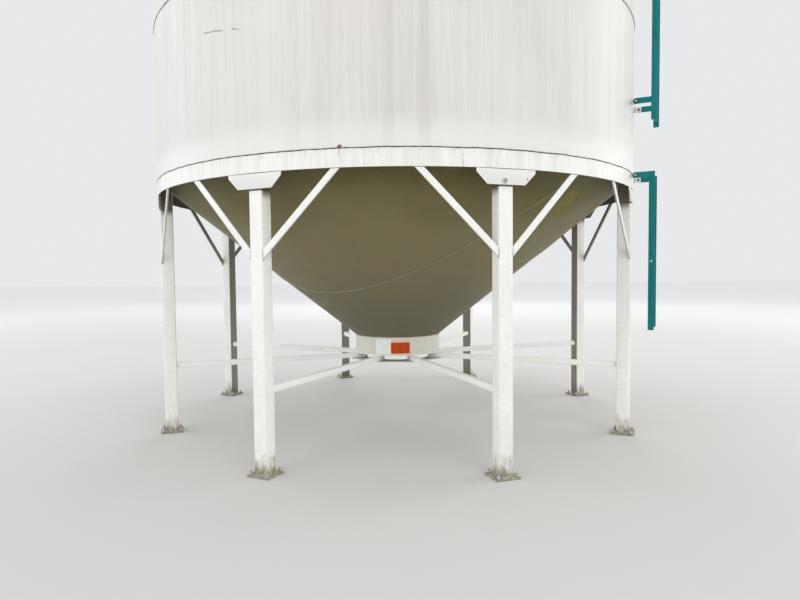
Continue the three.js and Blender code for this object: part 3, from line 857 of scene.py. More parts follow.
def bar_outline(round_end, square_end, half):
    """A bar seen from the side: a half circle about one end, cut square at the other."""
    points = [Vector((round_end - half * math.sin(a), half * math.cos(a))) for a in spread(0, math.pi, 10)]
    return points + [Vector((square_end, -half)), Vector((square_end, half))]


def arc(start, middle, end, steps=10):
    """A smooth curve that leaves the start towards the middle and comes in from there at the end."""
    return [start * (1 - t) ** 2 + middle * (2 * t * (1 - t)) + end * t ** 2 for t in spread(0, 1, steps)]


# Edges sharper than the first are bevelled where a part asks for it, and past the second all are shaded sharp
BEVEL_FROM = math.radians(35)
SHARP_FROM = math.radians(38)
WASHER_THICKNESS = 2.5 * MM


class Piece:
    """One piece of the scene, gathered from parts that each have a material."""

    def __init__(self, name, slot, *nodes):
        self.name, self.slot, self.nodes = name, slot, nodes
        self.points, self.faces, self.numbers, self.materials = [], [], [], []

    def add(self, shape, material, matrix=None, bevel=0.0, bevel_steps=2):
        mesh = bmesh.new()
        points, faces = shape
        corners = [mesh.verts.new(point) for point in points]
        for face in faces:
            mesh.faces.new([corners[i] for i in face])
        bmesh.ops.recalc_face_normals(mesh, faces=mesh.faces)
        if bevel:
            shared = [edge for edge in mesh.edges if len(edge.link_faces) == 2]
            sharp = [edge for edge in shared if edge.calc_face_angle() > BEVEL_FROM]
            settings = {"segments": bevel_steps, "profile": 0.5, "affect": "EDGES", "clamp_overlap": True}
            bmesh.ops.bevel(mesh, geom=sharp, offset=bevel, **settings)
        if matrix is not None:
            mesh.transform(matrix)
            if matrix.determinant() < 0:
                bmesh.ops.reverse_faces(mesh, faces=mesh.faces)
        if material not in self.materials:
            self.materials.append(material)
        number = self.materials.index(material)
        mesh.verts.index_update()
        start = len(self.points)
        self.points += [vertex.co.copy() for vertex in mesh.verts]
        for face in mesh.faces:
            self.faces.append(tuple(start + vertex.index for vertex in face.verts))
            self.numbers.append(number)
        mesh.free()

    def weld(self, path, radius, pitch=8 * MM, material=FRAME_WELD, matrix=None, closed=False):
        """A weld bead along a path, with the ripple that welding leaves."""
        if matrix is not None:
            path = [matrix @ Vector(point) for point in path]
        fine = spaced(path, pitch / 2, closed)

        def swell(index):
            return 1.0 + (0.12 if index % 2 else -0.08) + 0.22 * noise.noise(fine[index] * 35.0)

        self.add(swept(fine, radius, 6, closed, swell), material)

    def bolt(self, matrix, across, head, washer, stud=0.0, material=ZINC):
        """A washer and a hexagon head along local z, with the end of a stud beyond it if it is a nut."""
        self.disc(matrix, washer, WASHER_THICKNESS, 20, material)
        top = WASHER_THICKNESS + head
        self.add(prism(hexagon(across), WASHER_THICKNESS, top), material, matrix, 1.2 * MM, 1)
        if stud:
            self.add(prism(circle(across * 0.33, 14), top - MM, top + stud), material, matrix, MM, 1)

    def disc(self, matrix, radius, thickness, segments, material):
        profile = [(0, 0), (radius, 0), (radius, thickness), (0, thickness)]
        self.add(turned(profile, segments), material, matrix, 0.4 * MM, 1)

    def make(self):
        mesh = bpy.data.meshes.new(self.name)
        mesh.from_pydata(self.points, [], self.faces)
        for material in self.materials:
            mesh.materials.append(material)
        mesh.polygons.foreach_set("material_index", self.numbers)
        mesh.polygons.foreach_set("use_smooth", [True] * len(mesh.polygons))
        mesh.set_sharp_from_angle(angle=SHARP_FROM)
        mesh.update()
        piece = bpy.data.objects.new(self.name, mesh)
        bpy.context.scene.collection.objects.link(piece)
        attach(piece, "root")
        if self.nodes:
            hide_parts(*self.nodes)


ON_AXIS = Matrix.Translation(AXIS)


def at_leg(azimuth):
    """Turns (sideways, distance from the axis, height) into the silo's frame."""
    return ON_AXIS @ Matrix((sideways(azimuth), outward(azimuth), (0, 0, 1))).transposed().to_4x4()


def tipped(side=0.0, height=0.0):
    """Turns an outline and its extrusion so that the outline's y points up and the extrusion outwards."""
    return Matrix(((1, 0, 0, side), (0, 0, 1, 0), (0, 1, 0, height), (0, 0, 0, 1)))


# Wall, skirt, cone, collar and hub


def ripple(azimuth, fineness, level, start=0):
    """Smooth noise round the silo that closes on itself."""
    across = outward(azimuth)
    return noise.noise(Vector((across.x * fineness + start, across.y * fineness, level)))


def sheet_wave(azimuth, height):
    """How far a rolled sheet stands off true round, a millimetre or so at most."""
    return SHEET_WAVE * (ripple(azimuth, 2.6, height * 0.55) + 0.35 * ripple(azimuth, 8.0, height * 1.6, 7))


def make_wall():
    inner = BIN_RADIUS - WALL_THICKNESS
    for index, (low, high) in enumerate(COURSES):
        pinched = [low.z + 9 * MM, low.z + 24 * MM, high.z - 24 * MM, high.z - 9 * MM]
        heights = sorted(spread(low.z, high.z, 14) + pinched)
        seams = [low.z] * (index > 0) + [high.z] * (index < len(COURSES) - 1)

        def shift(azimuth, radius, height, seams=seams):
            if radius < BIN_RADIUS - WALL_THICKNESS / 2:
                return 0.0
            wave = sheet_wave(azimuth, height)
            for seam in seams:
                wave -= SEAM_PINCH * math.exp(-(((height - seam) / SEAM_PINCH_REACH) ** 2))
            return wave - SHEET_WAVE

        profile = [(inner, low.z), *[(BIN_RADIUS, height) for height in heights], (inner, high.z)]
        sheet = Piece(f"wall_sheet_{index + 1}", "wall_paint", f"wall_course_{index + 1}")
        sheet.add(turned(profile, shift=shift), WALL, ON_AXIS)
        sheet.make()


def make_wall_welds():
    steps = 900
    for index, (low, _) in enumerate(COURSES[1:]):
        path = []
        for step in range(steps):
            waver = 0.8 * MM * noise.noise(Vector((step * 0.21, index * 3.1, 0)))
            path.append(place(TURN * step / steps, BIN_RADIUS - SHEET_WAVE - SEAM_PINCH, low.z + waver))
        seam = Piece(f"course_weld_{index + 1}", "wall_paint")
        seam.weld(path, 4.4 * MM, 13 * MM, DARK_LINE, closed=True)
        seam.make()
    upright = Piece("upright_sheet_welds", "wall_paint")
    for (low, high), azimuths in zip(COURSES, UPRIGHT_SEAM_DEGREES):
        for azimuth in map(math.radians, azimuths):
            path = [
                place(azimuth, BIN_RADIUS - SHEET_WAVE + sheet_wave(azimuth, height), height)
                for height in spread(low.z, high.z, 24)
            ]
            upright.weld(path, 2.2 * MM, 12 * MM, GREY_LINE)
    upright.make()


def make_skirt():
    inner = SKIRT_RADIUS - SKIRT_THICKNESS
    edge = 1.2 * MM

    def shift(azimuth, radius, height):
        if radius < SKIRT_RADIUS - SKIRT_THICKNESS / 2:
            return 0.0
        return 0.5 * sheet_wave(azimuth, height * 1.7 + 3.0) - 0.5 * SHEET_WAVE

    profile = [(inner, SKIRT_BOTTOM), (SKIRT_RADIUS - edge, SKIRT_BOTTOM)]
    profile += [(SKIRT_RADIUS, height) for height in spread(SKIRT_BOTTOM + edge, SKIRT_TOP - edge, 5)]
    profile += [(SKIRT_RADIUS - edge, SKIRT_TOP), (inner, SKIRT_TOP)]
    band = Piece("skirt_ring", "wall_paint", "skirt_band")
    band.add(turned(profile, shift=shift), SKIRT, ON_AXIS)
    seams = [math.radians(degrees) for degrees in SKIRT_SEAM_DEGREES]
    for azimuth in seams:
        heights = (SKIRT_BOTTOM + 4 * MM, SKIRT_TOP - 3 * MM)
        band.weld([place(azimuth, SKIRT_RADIUS - 1.2 * MM, height) for height in heights], 2.2 * MM)
    sides = (-6 * MM, 6 * MM)
    notch = [place(seams[0], SKIRT_RADIUS - 2.5 * MM, SKIRT_BOTTOM + 0.5 * MM, side) for side in sides]
    band.weld(notch, 3 * MM, 9 * MM, GREY_LINE)
    band.make()


def make_skirt_marks():
    path = []
    steps = 1500
    for step in range(steps):
        azimuth = TURN * step / steps
        lift = 3.2 * MM * ripple(azimuth, 22, 0.7)
        path.append(place(azimuth, BIN_RADIUS + 0.4 * MM, SKIRT_TOP + 1.6 * MM + lift))
    # The dark line round the skirt's top is partly dirt and partly painted shadow in the corner where the
    # wall meets it.
    line = Piece("skirt_top_weld", "wall_paint")
    line.weld(path, 4.0 * MM, 10 * MM, DARK_LINE, closed=True)
    line.make()

    lumps = Piece("skirt_rust_lump", "wall_paint")
    turn = outward(SKIRT_RUST_AZIMUTH).to_track_quat("Z", "Y").to_matrix().to_4x4()
    for offset, size in ((0.0, 9 * MM), (10 * MM, 6 * MM), (-9 * MM, 5 * MM)):
        centre = place(SKIRT_RUST_AZIMUTH, BIN_RADIUS, SKIRT_TOP + 12 * MM + offset * 0.4, offset)
        angles = spread(0, math.pi / 2, 6)[:-1]
        dome = [(size * math.cos(angle), size * 0.5 * math.sin(angle)) for angle in angles]
        dome = [(0, -0.4 * size), *dome, (0, size * 0.5)]
        lumps.add(turned(dome, 14), RUST, Matrix.Translation(centre) @ turn)
    lumps.make()

    patch = Piece("skirt_touch_up", "wall_paint")
    middle = SKIRT_BOTTOM + 46 * MM
    patch.add(curved_plate(SKIRT_PATCH_AZIMUTH, SKIRT_RADIUS, 31 * MM, 56 * MM, middle, 0.5 * MM), TOUCH_UP)
    patch.make()


def seam_point(angle, middle):
    """A point of the cone's long seam, by its angle from the seam's middle on the flat sheet."""
    radius = SEAM_FROM_APEX / math.cos(angle) / CONE_STRETCH
    lift = 0.9 * MM / CONE_STRETCH
    height = CONE_APEX + radius * CONE_SLOPE - lift
    return place(middle + angle * CONE_STRETCH, radius + lift * CONE_SLOPE, height)


def make_hopper():
    upright = CONE_THICKNESS * CONE_STRETCH

    def shift(azimuth, radius, height):
        if height > cone_outside(radius) + upright / 2:
            return 0.0
        from_rim, from_collar = CONE_RIM_RADIUS - radius, max(0.0, radius - COLLAR_RADIUS)
        depth = min(1.0, from_rim / (120 * MM), from_collar / (100 * MM))
        return -1.4 * MM * depth * (ripple(azimuth, 3.1, height * 1.1 + 5) + 0.5)

    radii = spread(COLLAR_RADIUS, CONE_RIM_RADIUS, 16)
    profile = [(radius, cone_outside(radius) + SEAT) for radius in radii]
    profile.append((CONE_RIM_RADIUS, cone_outside(CONE_RIM_RADIUS) + upright + SEAT))
    profile.append((COLLAR_RADIUS - upright / CONE_SLOPE, COLLAR_TOP + SEAT))
    cone = Piece("hopper", "cone_paint", *[f"hopper_sheet_{index}" for index in range(1, 5)])
    cone.add(turned(profile, shift=shift), CONE, ON_AXIS)
    cone.make()

    welds = Piece("hopper_welds", "cone_paint")
    reach = math.acos(SEAM_FROM_APEX / (CONE_RIM_RADIUS * CONE_STRETCH - 8 * MM))
    for azimuth in (SEAM_AZIMUTH, SEAM_AZIMUTH + math.pi):
        path = [seam_point(angle, azimuth) for angle in spread(-reach, reach, 120)]
        welds.weld(path, 4 * MM, 11 * MM, CONE_WELD)
    for azimuth in map(math.radians, RADIAL_SEAM_DEGREES):
        radii = spread(COLLAR_RADIUS + 6 * MM, CONE_RIM_RADIUS - 14 * MM, 40)
        path = [place(azimuth, radius, cone_outside(radius) - 0.2 * MM) for radius in radii]
        welds.weld(path, 2.4 * MM, 11 * MM, CONE_WELD)
    foot = ring(COLLAR_RADIUS + 1.6 * MM, COLLAR_TOP - 0.6 * MM, 300)
    welds.weld(foot, 3.6 * MM, 9 * MM, CONE_WELD, closed=True)
    welds.make()


def make_collar():
    edge = 1.5 * MM
    inner = COLLAR_RADIUS - COLLAR_THICKNESS
    profile = [
        (inner, COLLAR_BOTTOM + edge),
        (inner + edge, COLLAR_BOTTOM),
        (COLLAR_RADIUS - edge, COLLAR_BOTTOM),
        (COLLAR_RADIUS, COLLAR_BOTTOM + edge),
        (COLLAR_RADIUS, COLLAR_BOTTOM + 85 * MM),
        (COLLAR_RADIUS, COLLAR_TOP - edge),
        (COLLAR_RADIUS - edge, COLLAR_TOP),
        (inner, COLLAR_TOP),
    ]
    tube = Piece("collar", "cone_paint", "discharge_collar")
    tube.add(turned(profile), COLLAR, ON_AXIS)
    heights = (COLLAR_BOTTOM + 3 * MM, COLLAR_TOP - 4 * MM)
    tube.weld([place(COLLAR_SEAM_AZIMUTH, COLLAR_RADIUS, height) for height in heights], 2.4 * MM)
    tube.make()

    # Azimuth in degrees, then width, height, middle above the collar's foot, thickness and corner in mm
    for name, plates in (
        ("pale", ((-15.9, 150, 134, 82, 0.5, 5, PALE_PATCH),)),
        ("orange", ((7.6, 190, 132, 75, 0.4, 5, PEACH_BORDER), (6.6, 172, 100, 72, 0.8, 3, ORANGE_PATCH))),
    ):
        patch = Piece(f"collar_{name}_patch", "cone_paint")
        for degrees, *sizes, material in plates:
            width, height, middle, *rest = [size * MM for size in sizes]
            middle += COLLAR_BOTTOM
            plate = curved_plate(math.radians(degrees), COLLAR_RADIUS, width, height, middle, *rest)
            patch.add(plate, material)
        patch.make()


def make_hub():
    edge = 1.2 * MM
    inner, outer = HUB_HOLE_RADIUS, HUB_CORNER_RADIUS
    low, high = hub_low.z, hub_high.z
    apothem = outer * math.cos(LEG_PITCH / 2)

    def shift(azimuth, radius, height):
        if radius < (inner + outer) / 2:
            return 0.0
        from_flat = (azimuth + LEG_PITCH / 2) % LEG_PITCH - LEG_PITCH / 2
        return apothem / math.cos(from_flat) - outer

    profile = [
        (inner, low + edge),
        (inner + edge, low),
        (outer - edge, low),
        (outer, low + edge),
        (outer, high - edge),
        (outer - edge, high),
        (inner + edge, high),
        (inner, high - edge),
    ]
    plate = Piece("hub", "frame_paint", "hub_plate")
    plate.add(turned(profile, shift=shift), HUB, ON_AXIS)
    for index in range(HUB_BOLTS):
        spot = place((index + 0.5) * TURN / HUB_BOLTS, HUB_BOLT_RADIUS, low)
        plate.bolt(Matrix.Translation(spot) @ Matrix.Rotation(math.pi, 4, "X"), 16 * MM, 7 * MM, 13 * MM)
    plate.make()


# Legs, caps, braces and ties


def leg_top(point):
    return cone_outside(math.hypot(point.x, point.y)) - 0.4 * MM


def make_legs():
    centre = LEG_FACE - LEG_SIZE / 2
    cap = [
        Vector((-CAP_HALF_BOTTOM, CAP_LOW)),
        Vector((CAP_HALF_BOTTOM, CAP_LOW)),
        Vector((CAP_HALF_TOP, CAP_TOP - CAP_SIDE)),
        Vector((CAP_HALF_TOP, CAP_TOP - CAP_GROOVE)),
        Vector((-CAP_HALF_TOP, CAP_TOP - CAP_GROOVE)),
        Vector((-CAP_HALF_TOP, CAP_TOP - CAP_SIDE)),
    ]
    outline = rounded_rectangle(LEG_SIZE, LEG_SIZE, LEG_CORNER, 5, (0, centre))
    foot = rounded_rectangle(FOOT_SIZE, FOOT_SIZE, 5 * MM, 3, (0, centre))
    base = [(p.x * 1.01, centre + (p.y - centre) * 1.01, FOOT_THICKNESS + MM) for p in outline]
    top = [(p.x, p.y, leg_top(p) - MM) for p in outline if p.y < LEG_FACE - LEG_CORNER]
    lap = []
    for side in spread(-0.985 * CAP_HALF_TOP, 0.985 * CAP_HALF_TOP, 40):
        reach = min(math.sqrt(SKIRT_RADIUS ** 2 - side ** 2), CAP_FACE)
        lap.append((side, reach - 3 * MM, CAP_TOP - 1.6 * MM))
    for number, azimuth in enumerate(LEG_AZIMUTHS, 1):
        here = at_leg(azimuth)
        leg = Piece(f"leg_post_{number}", "frame_paint", f"leg_{number}")
        leg.add(prism(outline, FOOT_THICKNESS - 0.5 * MM, leg_top), FRAME, here)
        leg.add(prism(foot, 0.0, FOOT_THICKNESS), FRAME, here, 1.2 * MM)
        leg.weld(base, 3.8 * MM, matrix=here, closed=True)
        for sx in (-1, 1):
            for sy in (-1, 1):
                spot = here @ Vector((sx * FOOT_BOLT, centre + sy * FOOT_BOLT, FOOT_THICKNESS))
                turn = Matrix.Rotation(azimuth + sx * 0.3 + sy * 0.2, 4, "Z")
                leg.bolt(Matrix.Translation(spot) @ turn, 24 * MM, 13 * MM, 17 * MM, 14 * MM)
        leg.add(prism(cap, CAP_BACK, CAP_FACE), FRAME, here @ tipped(), 1.8 * MM, 3)
        # The dark line along each cap's top, under the skirt's edge, is painted shadow of the groove there.
        leg.weld(lap, 2.4 * MM, material=DARK_LINE, matrix=here)
        for side in (-1, 1):
            across = side * (LEG_SIZE / 2 + 0.5 * MM)
            ends = [(across, CAP_BACK - MM, height) for height in (CAP_LOW + 6 * MM, CAP_TOP - 8 * MM)]
            leg.weld(ends, 4 * MM, matrix=here)
        leg.weld(top, 3.2 * MM, 9 * MM, matrix=here)
        leg.make()


def make_braces():
    top_distance = math.sqrt(KNEE_TOP_RADIUS ** 2 - KNEE_REACH ** 2)
    low = Vector((LEG_SIZE / 2, KNEE_FACE, KNEE_LOW))
    high = Vector((KNEE_REACH, top_distance, SKIRT_BOTTOM))
    along = (high - low).normalized()
    inward = Vector((high.y - low.y, low.x - high.x, 0)).normalized()
    across = inward.cross(along)
    if across.z < 0:
        across.negate()
    lower, upper = [], []
    for point in rounded_rectangle(KNEE_WIDTH, KNEE_THICKNESS, 2.5 * MM, 3):
        start = low + across * point.x + inward * (point.y + KNEE_THICKNESS / 2)
        start += along * ((LEG_SIZE / 2 + SEAT - start.x) / along.x)
        lower.append(start)
        upper.append(start + along * ((CAP_TOP - start.z) / along.z))
    foot = [point + Vector((MM, 0, 0)) for point in lower]
    head = [point - Vector((0, 0, 1.2 * MM)) for point in upper]
    for number, azimuth in enumerate(LEG_AZIMUTHS, 1):
        for side, word in ((-1, "left"), (1, "right")):
            matrix = at_leg(azimuth) @ Matrix.Diagonal((side, 1, 1, 1))
            brace = Piece(f"brace_{number}_{word}", "frame_paint", f"knee_brace_{number}_{word}")
            brace.add(joined(lower, upper), FRAME, matrix)
            brace.weld(foot, 2.6 * MM, matrix=matrix, closed=True)
            brace.weld(head, 1.8 * MM, material=GREY_LINE, matrix=matrix, closed=True)
            brace.make()


def make_ties():
    outer_end = LEG_FACE - LEG_SIZE - SEAT
    outline = rounded_rectangle(TIE_SIZE, TIE_SIZE, 5 * MM)
    bore = rounded_rectangle(TIE_SIZE - 2 * TIE_WALL, TIE_SIZE - 2 * TIE_WALL, 2.5 * MM)
    end = [(p.x * 1.02, p.y * 1.02, outer_end - MM) for p in outline]
    for number, azimuth in enumerate(LEG_AZIMUTHS, 1):
        here = at_leg(azimuth)
        along = here @ tipped(height=TIE_TOP - TIE_SIZE / 2)
        tie = Piece(f"tie_{number}", "frame_paint", f"radial_tie_{number}")
        tie.add(hollow_prism(outline, bore, TIE_INNER_RADIUS, outer_end), TIE, along)
        tie.weld(end, 3 * MM, matrix=along, closed=True)
        for side in (-1, 1):
            across, low = side * (TIE_SIZE / 2 - 3 * MM), TIE_TOP - TIE_SIZE + 0.5 * MM
            tie.weld([(across, reach, low) for reach in TIE_WELD_REACHES], 3.2 * MM, matrix=here)
        tie.make()


# Roof, fill opening and hatch


def make_roof():
    eave_inner = EAVE_RADIUS - ROOF_THICKNESS
    hole = FILL_RADIUS + SEAT
    lip_bottom = roof_underside(eave_inner) - EAVE_LIP

    def shift(azimuth, radius, height):
        on_top = height >= roof_underside(radius) + ROOF_UPRIGHT / 2
        if not on_top or radius > EAVE_RADIUS - 20 * MM or radius < 400 * MM:
            return 0.0
        return 1.6 * MM * (ripple(azimuth, 3.0, radius * 1.4, 9) - 0.5)

    profile = [(radius, roof_underside(radius)) for radius in (hole, eave_inner)]
    profile += [(eave_inner, lip_bottom), (EAVE_RADIUS, lip_bottom)]
    profile.append((EAVE_RADIUS, roof_top(EAVE_RADIUS) - MM))
    over = [(radius, roof_top(radius)) for radius in spread(hole, EAVE_RADIUS - 2 * MM, 12)]
    cone = Piece("roof", "wall_paint", *[f"roof_sheet_{index}" for index in range(1, ROOF_SHEETS + 1)])
    cone.add(turned(profile + over[::-1], shift=shift), ROOF, ON_AXIS)
    for index in range(ROOF_SHEETS):
        radii = spread(320 * MM, EAVE_RADIUS - 10 * MM, 30)
        azimuth = index * TURN / ROOF_SHEETS
        cone.weld([place(azimuth, radius, roof_top(radius)) for radius in radii], 3 * MM, 14 * MM)
    cone.weld(ring(BIN_RADIUS + 1.5 * MM, WALL_TOP - MM, 400), 3 * MM, 14 * MM, closed=True)
    cone.make()


def neck(piece, radius, bottom, top, matrix, segments):
    """An upright ring with a rolled upper rim."""
    inner = radius - NECK_THICKNESS
    profile = [
        (inner, bottom),
        (radius, bottom),
        (radius, top - MM),
        (radius - MM, top),
        (inner + MM, top),
        (inner, top - MM),
    ]
    piece.add(turned(profile, segments), ROOF, matrix)


def cover(piece, opening, top, matrix, segments):
    """A shallow conical lid with a hanging lip and a hemmed edge."""
    inner = opening + LID_OVERLAP
    outer = inner + LID_THICKNESS

    def under(radius):
        return top + SEAT + (opening - radius) * LID_SLOPE

    foot = under(inner) - LID_LIP
    hem = [
        (outer - LID_HEM + LID_HEM * math.cos(angle), foot + LID_HEM * math.sin(angle))
        for angle in spread(math.pi, TURN, 4)
    ]
    profile = [
        (0, under(0)),
        (inner - 3 * MM, under(inner - 3 * MM)),
        (inner, under(inner) - 3 * MM),
        (inner, foot),
        *hem,
        (outer, foot + 4 * MM),
        (outer, under(outer) + LID_THICKNESS - 4 * MM),
        (outer - 1.2 * MM, under(outer) + LID_THICKNESS - 1.2 * MM),
        (outer - 4 * MM, under(outer - 4 * MM) + LID_THICKNESS),
        (outer * 0.6, under(outer * 0.6) + LID_THICKNESS),
        (0, under(0) + LID_THICKNESS),
    ]
    piece.add(turned(profile, segments), ROOF, matrix)


def lid_handle(piece, matrix, opening, top, distance, span, rise, bar):
    """A bent round bar across the lid at a distance from its middle."""
    half = span / 2
    height = top + (opening - distance) * LID_SLOPE + LID_THICKNESS

    def at(side, level):
        return matrix @ Vector((side, -distance, height + level))

    path = [
        at(-half, -4 * MM),
        *arc(at(-half, rise * 0.6), at(-half, rise), at(-half + rise * 0.4, rise), 5),
        *arc(at(half - rise * 0.4, rise), at(half, rise), at(half, rise * 0.6), 5),
        at(half, -4 * MM),
    ]
    piece.add(swept(path, bar, 12), TEAL)


def make_fill_opening():
    bottom = roof_underside(FILL_RADIUS)
    tube = Piece("fill_neck", "wall_paint", "fill_ring")
    neck(tube, FILL_RADIUS, bottom, bottom + FILL_HEIGHT, ON_AXIS, 128)
    foot = ring(FILL_RADIUS + MM, roof_underside(FILL_RADIUS + MM) + 5 * MM, 200)
    tube.weld(foot, 3.6 * MM, 9 * MM, closed=True)
    tube.make()
    lid = Piece("fill_cover", "wall_paint", "fill_lid")
    cover(lid, FILL_RADIUS, bottom + FILL_HEIGHT, ON_AXIS, 128)
    turn = ON_AXIS @ Matrix.Rotation(LADDER_AZIMUTH, 4, "Z")
    lid_handle(lid, turn, FILL_RADIUS, bottom + FILL_HEIGHT, 200 * MM, 150 * MM, 46 * MM, 6 * MM)
    lid.make()


def make_roof_hatch():
    matrix = (
        ON_AXIS
        @ Matrix.Rotation(LADDER_AZIMUTH, 4, "Z")
        @ Matrix.Translation((0, -HATCH_FROM_AXIS, roof_top(HATCH_FROM_AXIS)))
        @ Matrix.Rotation(ROOF_PITCH, 4, "X")
    )
    tube = Piece("hatch_neck", "wall_paint", "roof_hatch_ring")
    neck(tube, HATCH_RADIUS, -HATCH_DEPTH, HATCH_HEIGHT, matrix, 96)
    foot = [(*p, -MM) for p in circle(HATCH_RADIUS + MM, 160)]
    tube.weld(foot, 3.6 * MM, 9 * MM, matrix=matrix, closed=True)
    tube.make()
    lid = Piece("hatch_cover", "wall_paint", "roof_hatch_lid")
    cover(lid, HATCH_RADIUS, HATCH_HEIGHT, matrix, 96)
    lid_handle(lid, matrix, HATCH_RADIUS, HATCH_HEIGHT, 160 * MM, 120 * MM, 40 * MM, 5 * MM)
    reach = HATCH_RADIUS + LID_OVERLAP + LID_THICKNESS
    for side in (-HINGE_SIDE, HINGE_SIDE):
        ends = (side - 24 * MM, side + 24 * MM)
        knuckle = [matrix @ Vector((end, reach + 8 * MM, HATCH_HEIGHT - 8 * MM)) for end in ends]
        lid.add(swept(knuckle, 8 * MM, 12), ZINC)
        tilt = Matrix.Translation((side, reach - 32 * MM, HATCH_HEIGHT - 3 * MM))
        tilt = matrix @ tilt @ Matrix.Rotation(-math.atan(LID_SLOPE), 4, "X")
        lid.add(prism(rounded_rectangle(40 * MM, 78 * MM, 4 * MM, 2), 0.0, 4 * MM), ROOF, tilt, 0.8 * MM, 1)
    lid.make()


# Ladder


def make_standoff(section, here, from_axis, side, height):
    """One bar between rail and wall, with the lug that it is bolted to."""
    centre = side * LADDER_WIDTH / 2
    half = STANDOFF_THICKNESS / 2
    bolt_reach = BIN_RADIUS + LUG_BOLT_REACH
    bar = bar_outline(bolt_reach, from_axis, STANDOFF_HEIGHT / 2)
    stand_up = Matrix(((0, 0, 1, centre), (1, 0, 0, 0), (0, 1, 0, height), (0, 0, 0, 1)))
    section.add(prism(bar, -half, half), TEAL, here @ stand_up, 0.6 * MM, 1)
    middle = centre - side * (STANDOFF_THICKNESS + 0.2 * MM)
    surface = (BIN_RADIUS if height > SKIRT_TOP else SKIRT_RADIUS) - 3 * MM
    outline = rounded_rectangle(STANDOFF_THICKNESS, STANDOFF_HEIGHT, 1.2 * MM, 2)
    lug = prism(outline, surface, BIN_RADIUS + LUG_REACH)
    section.add(lug, FRAME, here @ tipped(middle, height), 0.8 * MM, 1)
    levels = (height - 22 * MM, height + 22 * MM)
    for across in (middle - 4 * MM, middle + 4 * MM):
        section.weld([(across, surface + 4 * MM, level) for level in levels], 3 * MM, matrix=here)

    def facing(across, way):
        turn = Matrix.Rotation(way * math.pi / 2, 4, "Y")
        return here @ Matrix.Translation((across, bolt_reach, height)) @ turn

    outer, inner = facing(centre + side * half, side), facing(middle - side * half, -side)
    section.disc(outer, 17 * MM, 1.5 * MM, 24, DARK_STEEL)
    section.bolt(outer, 17 * MM, 8 * MM, 10 * MM)
    section.bolt(inner, 15 * MM, 7 * MM, 9 * MM, 5 * MM, DARK_STEEL)
    back = from_axis - RAIL_DEPTH / 2 - MM
    for level in levels:
        run = [(centre + end * 3 * MM, back, level) for end in (-side, side)]
        section.weld(run, 3 * MM, 6 * MM, TEAL, here)


def make_ladder_section(name, from_axis, rungs, standoffs):
    low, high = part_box(f"ladder_{name}")
    rungs, standoffs = ([z for z in heights if low.z < z < high.z] for heights in (rungs, standoffs))
    here = at_leg(LADDER_AZIMUTH)
    section = Piece(f"ladder_{name}_length", "ladder_paint", f"ladder_{name}")
    half = LADDER_WIDTH / 2
    for side in (-1, 1):
        rail = rounded_rectangle(RAIL_THICKNESS, RAIL_DEPTH, 2 * MM, 3, (side * half, from_axis))
        section.add(prism(rail, low.z, high.z), TEAL, here, 0.8 * MM, 1)
        end = side * (half + RAIL_THICKNESS / 2 + 0.5 * MM)
        for height in rungs:
            loop = [(end, from_axis + p.x, height + p.y) for p in circle(9 * MM, 12)]
            section.weld(loop, 2 * MM, 6 * MM, TEAL, here, closed=True)
        for height in standoffs:
            make_standoff(section, here, from_axis, side, height)
    for height in rungs:
        path = [here @ Vector((across, from_axis, height)) for across in spread(-half, half, 12)]
        section.add(swept(path, RUNG_RADIUS, 20), TEAL)
    section.make()


make_wall()
make_wall_welds()
make_skirt()
make_skirt_marks()
make_hopper()
make_collar()
make_hub()
make_legs()
make_braces()
make_ties()
make_roof()
make_fill_opening()
make_roof_hatch()
make_ladder_section("lower", LOWER_LADDER_FROM_AXIS, LOWER_RUNGS, LOWER_STANDOFFS)
for section_name in ("middle", "upper"):
    make_ladder_section(section_name, UPPER_LADDER_FROM_AXIS, UPPER_RUNGS, UPPER_STANDOFFS)


# Floor and light

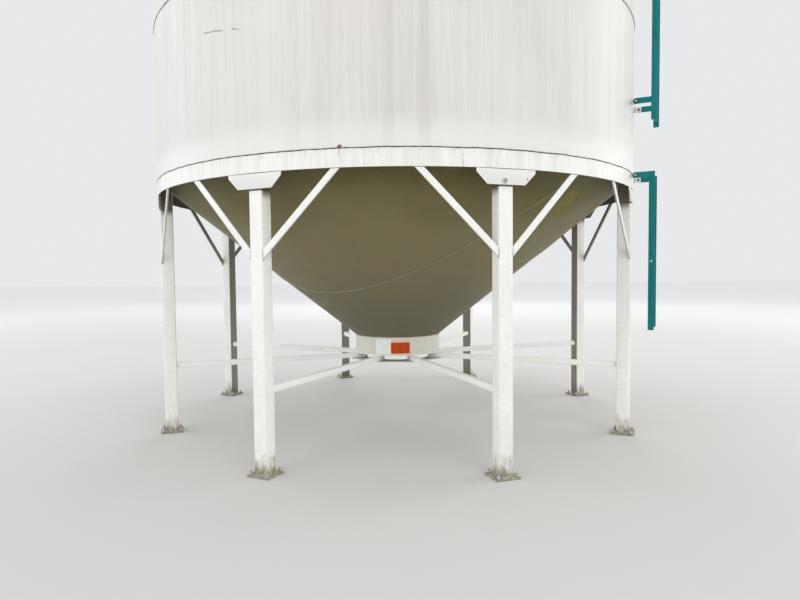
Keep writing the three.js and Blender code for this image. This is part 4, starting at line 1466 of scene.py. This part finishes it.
FLOOR_HALF = 60.0
SKY_COLOUR = (0.97, 0.985, 1.0)
SKY_STRENGTH = 0.83


def make_floor():
    paint = Paint("floor", roughness=0.9)
    middle = paint.mix(paint.grain(0.8), (0.60, 0.60, 0.58), (0.63, 0.63, 0.61))
    away = paint.rise(paint.vector("LENGTH", paint.place), 7.0, 26.0)
    paint.tint = paint.mix(away, middle, (0.93, 0.935, 0.945))
    corners = [(sx * FLOOR_HALF, sy * FLOOR_HALF, -MM) for sx, sy in ((-1, -1), (1, -1), (1, 1), (-1, 1))]
    mesh = bpy.data.meshes.new("floor")
    mesh.from_pydata(corners, [], [(0, 1, 2, 3)])
    mesh.materials.append(paint.finish())
    floor = bpy.data.objects.new("floor", mesh)
    bpy.context.scene.collection.objects.link(floor)


def add_area(name, location, aim, size, power, colour=(1, 1, 1)):
    """A square lamp that looks at a height on the axis."""
    data = bpy.data.lights.new(name, "AREA")
    data.shape = "SQUARE"
    data.size = size
    data.energy = power
    data.color = colour
    lamp = bpy.data.objects.new(name, data)
    lamp.location = location
    lamp.rotation_mode = "QUATERNION"
    lamp.rotation_quaternion = (Vector((0, 0, aim)) - Vector(location)).to_track_quat("-Z", "Y")
    bpy.context.scene.collection.objects.link(lamp)


def make_light():
    world = bpy.data.worlds.new("studio")
    world.use_nodes = True
    background = world.node_tree.nodes["Background"]
    background.inputs["Color"].default_value = (*SKY_COLOUR, 1.0)
    background.inputs["Strength"].default_value = SKY_STRENGTH
    bpy.context.scene.world = world
    add_area("front", (9.0, -16.0, 12.0), 3.0, 12.0, 1000.0, (1.0, 0.99, 0.97))
    add_area("front_left", (-12.0, -12.0, 8.0), 2.5, 11.0, 517.0)
    add_area("right", (16.5, 5.0, 8.0), 2.5, 11.0, 880.0, (1.0, 0.995, 0.98))
    add_area("left", (-17.0, 2.0, 8.0), 2.5, 11.0, 605.0, SKY_COLOUR)
    add_area("back", (0.0, 17.0, 12.0), 3.0, 11.0, 950.0)


make_floor()
make_light()
bpy.context.scene.view_settings.view_transform = "Standard"
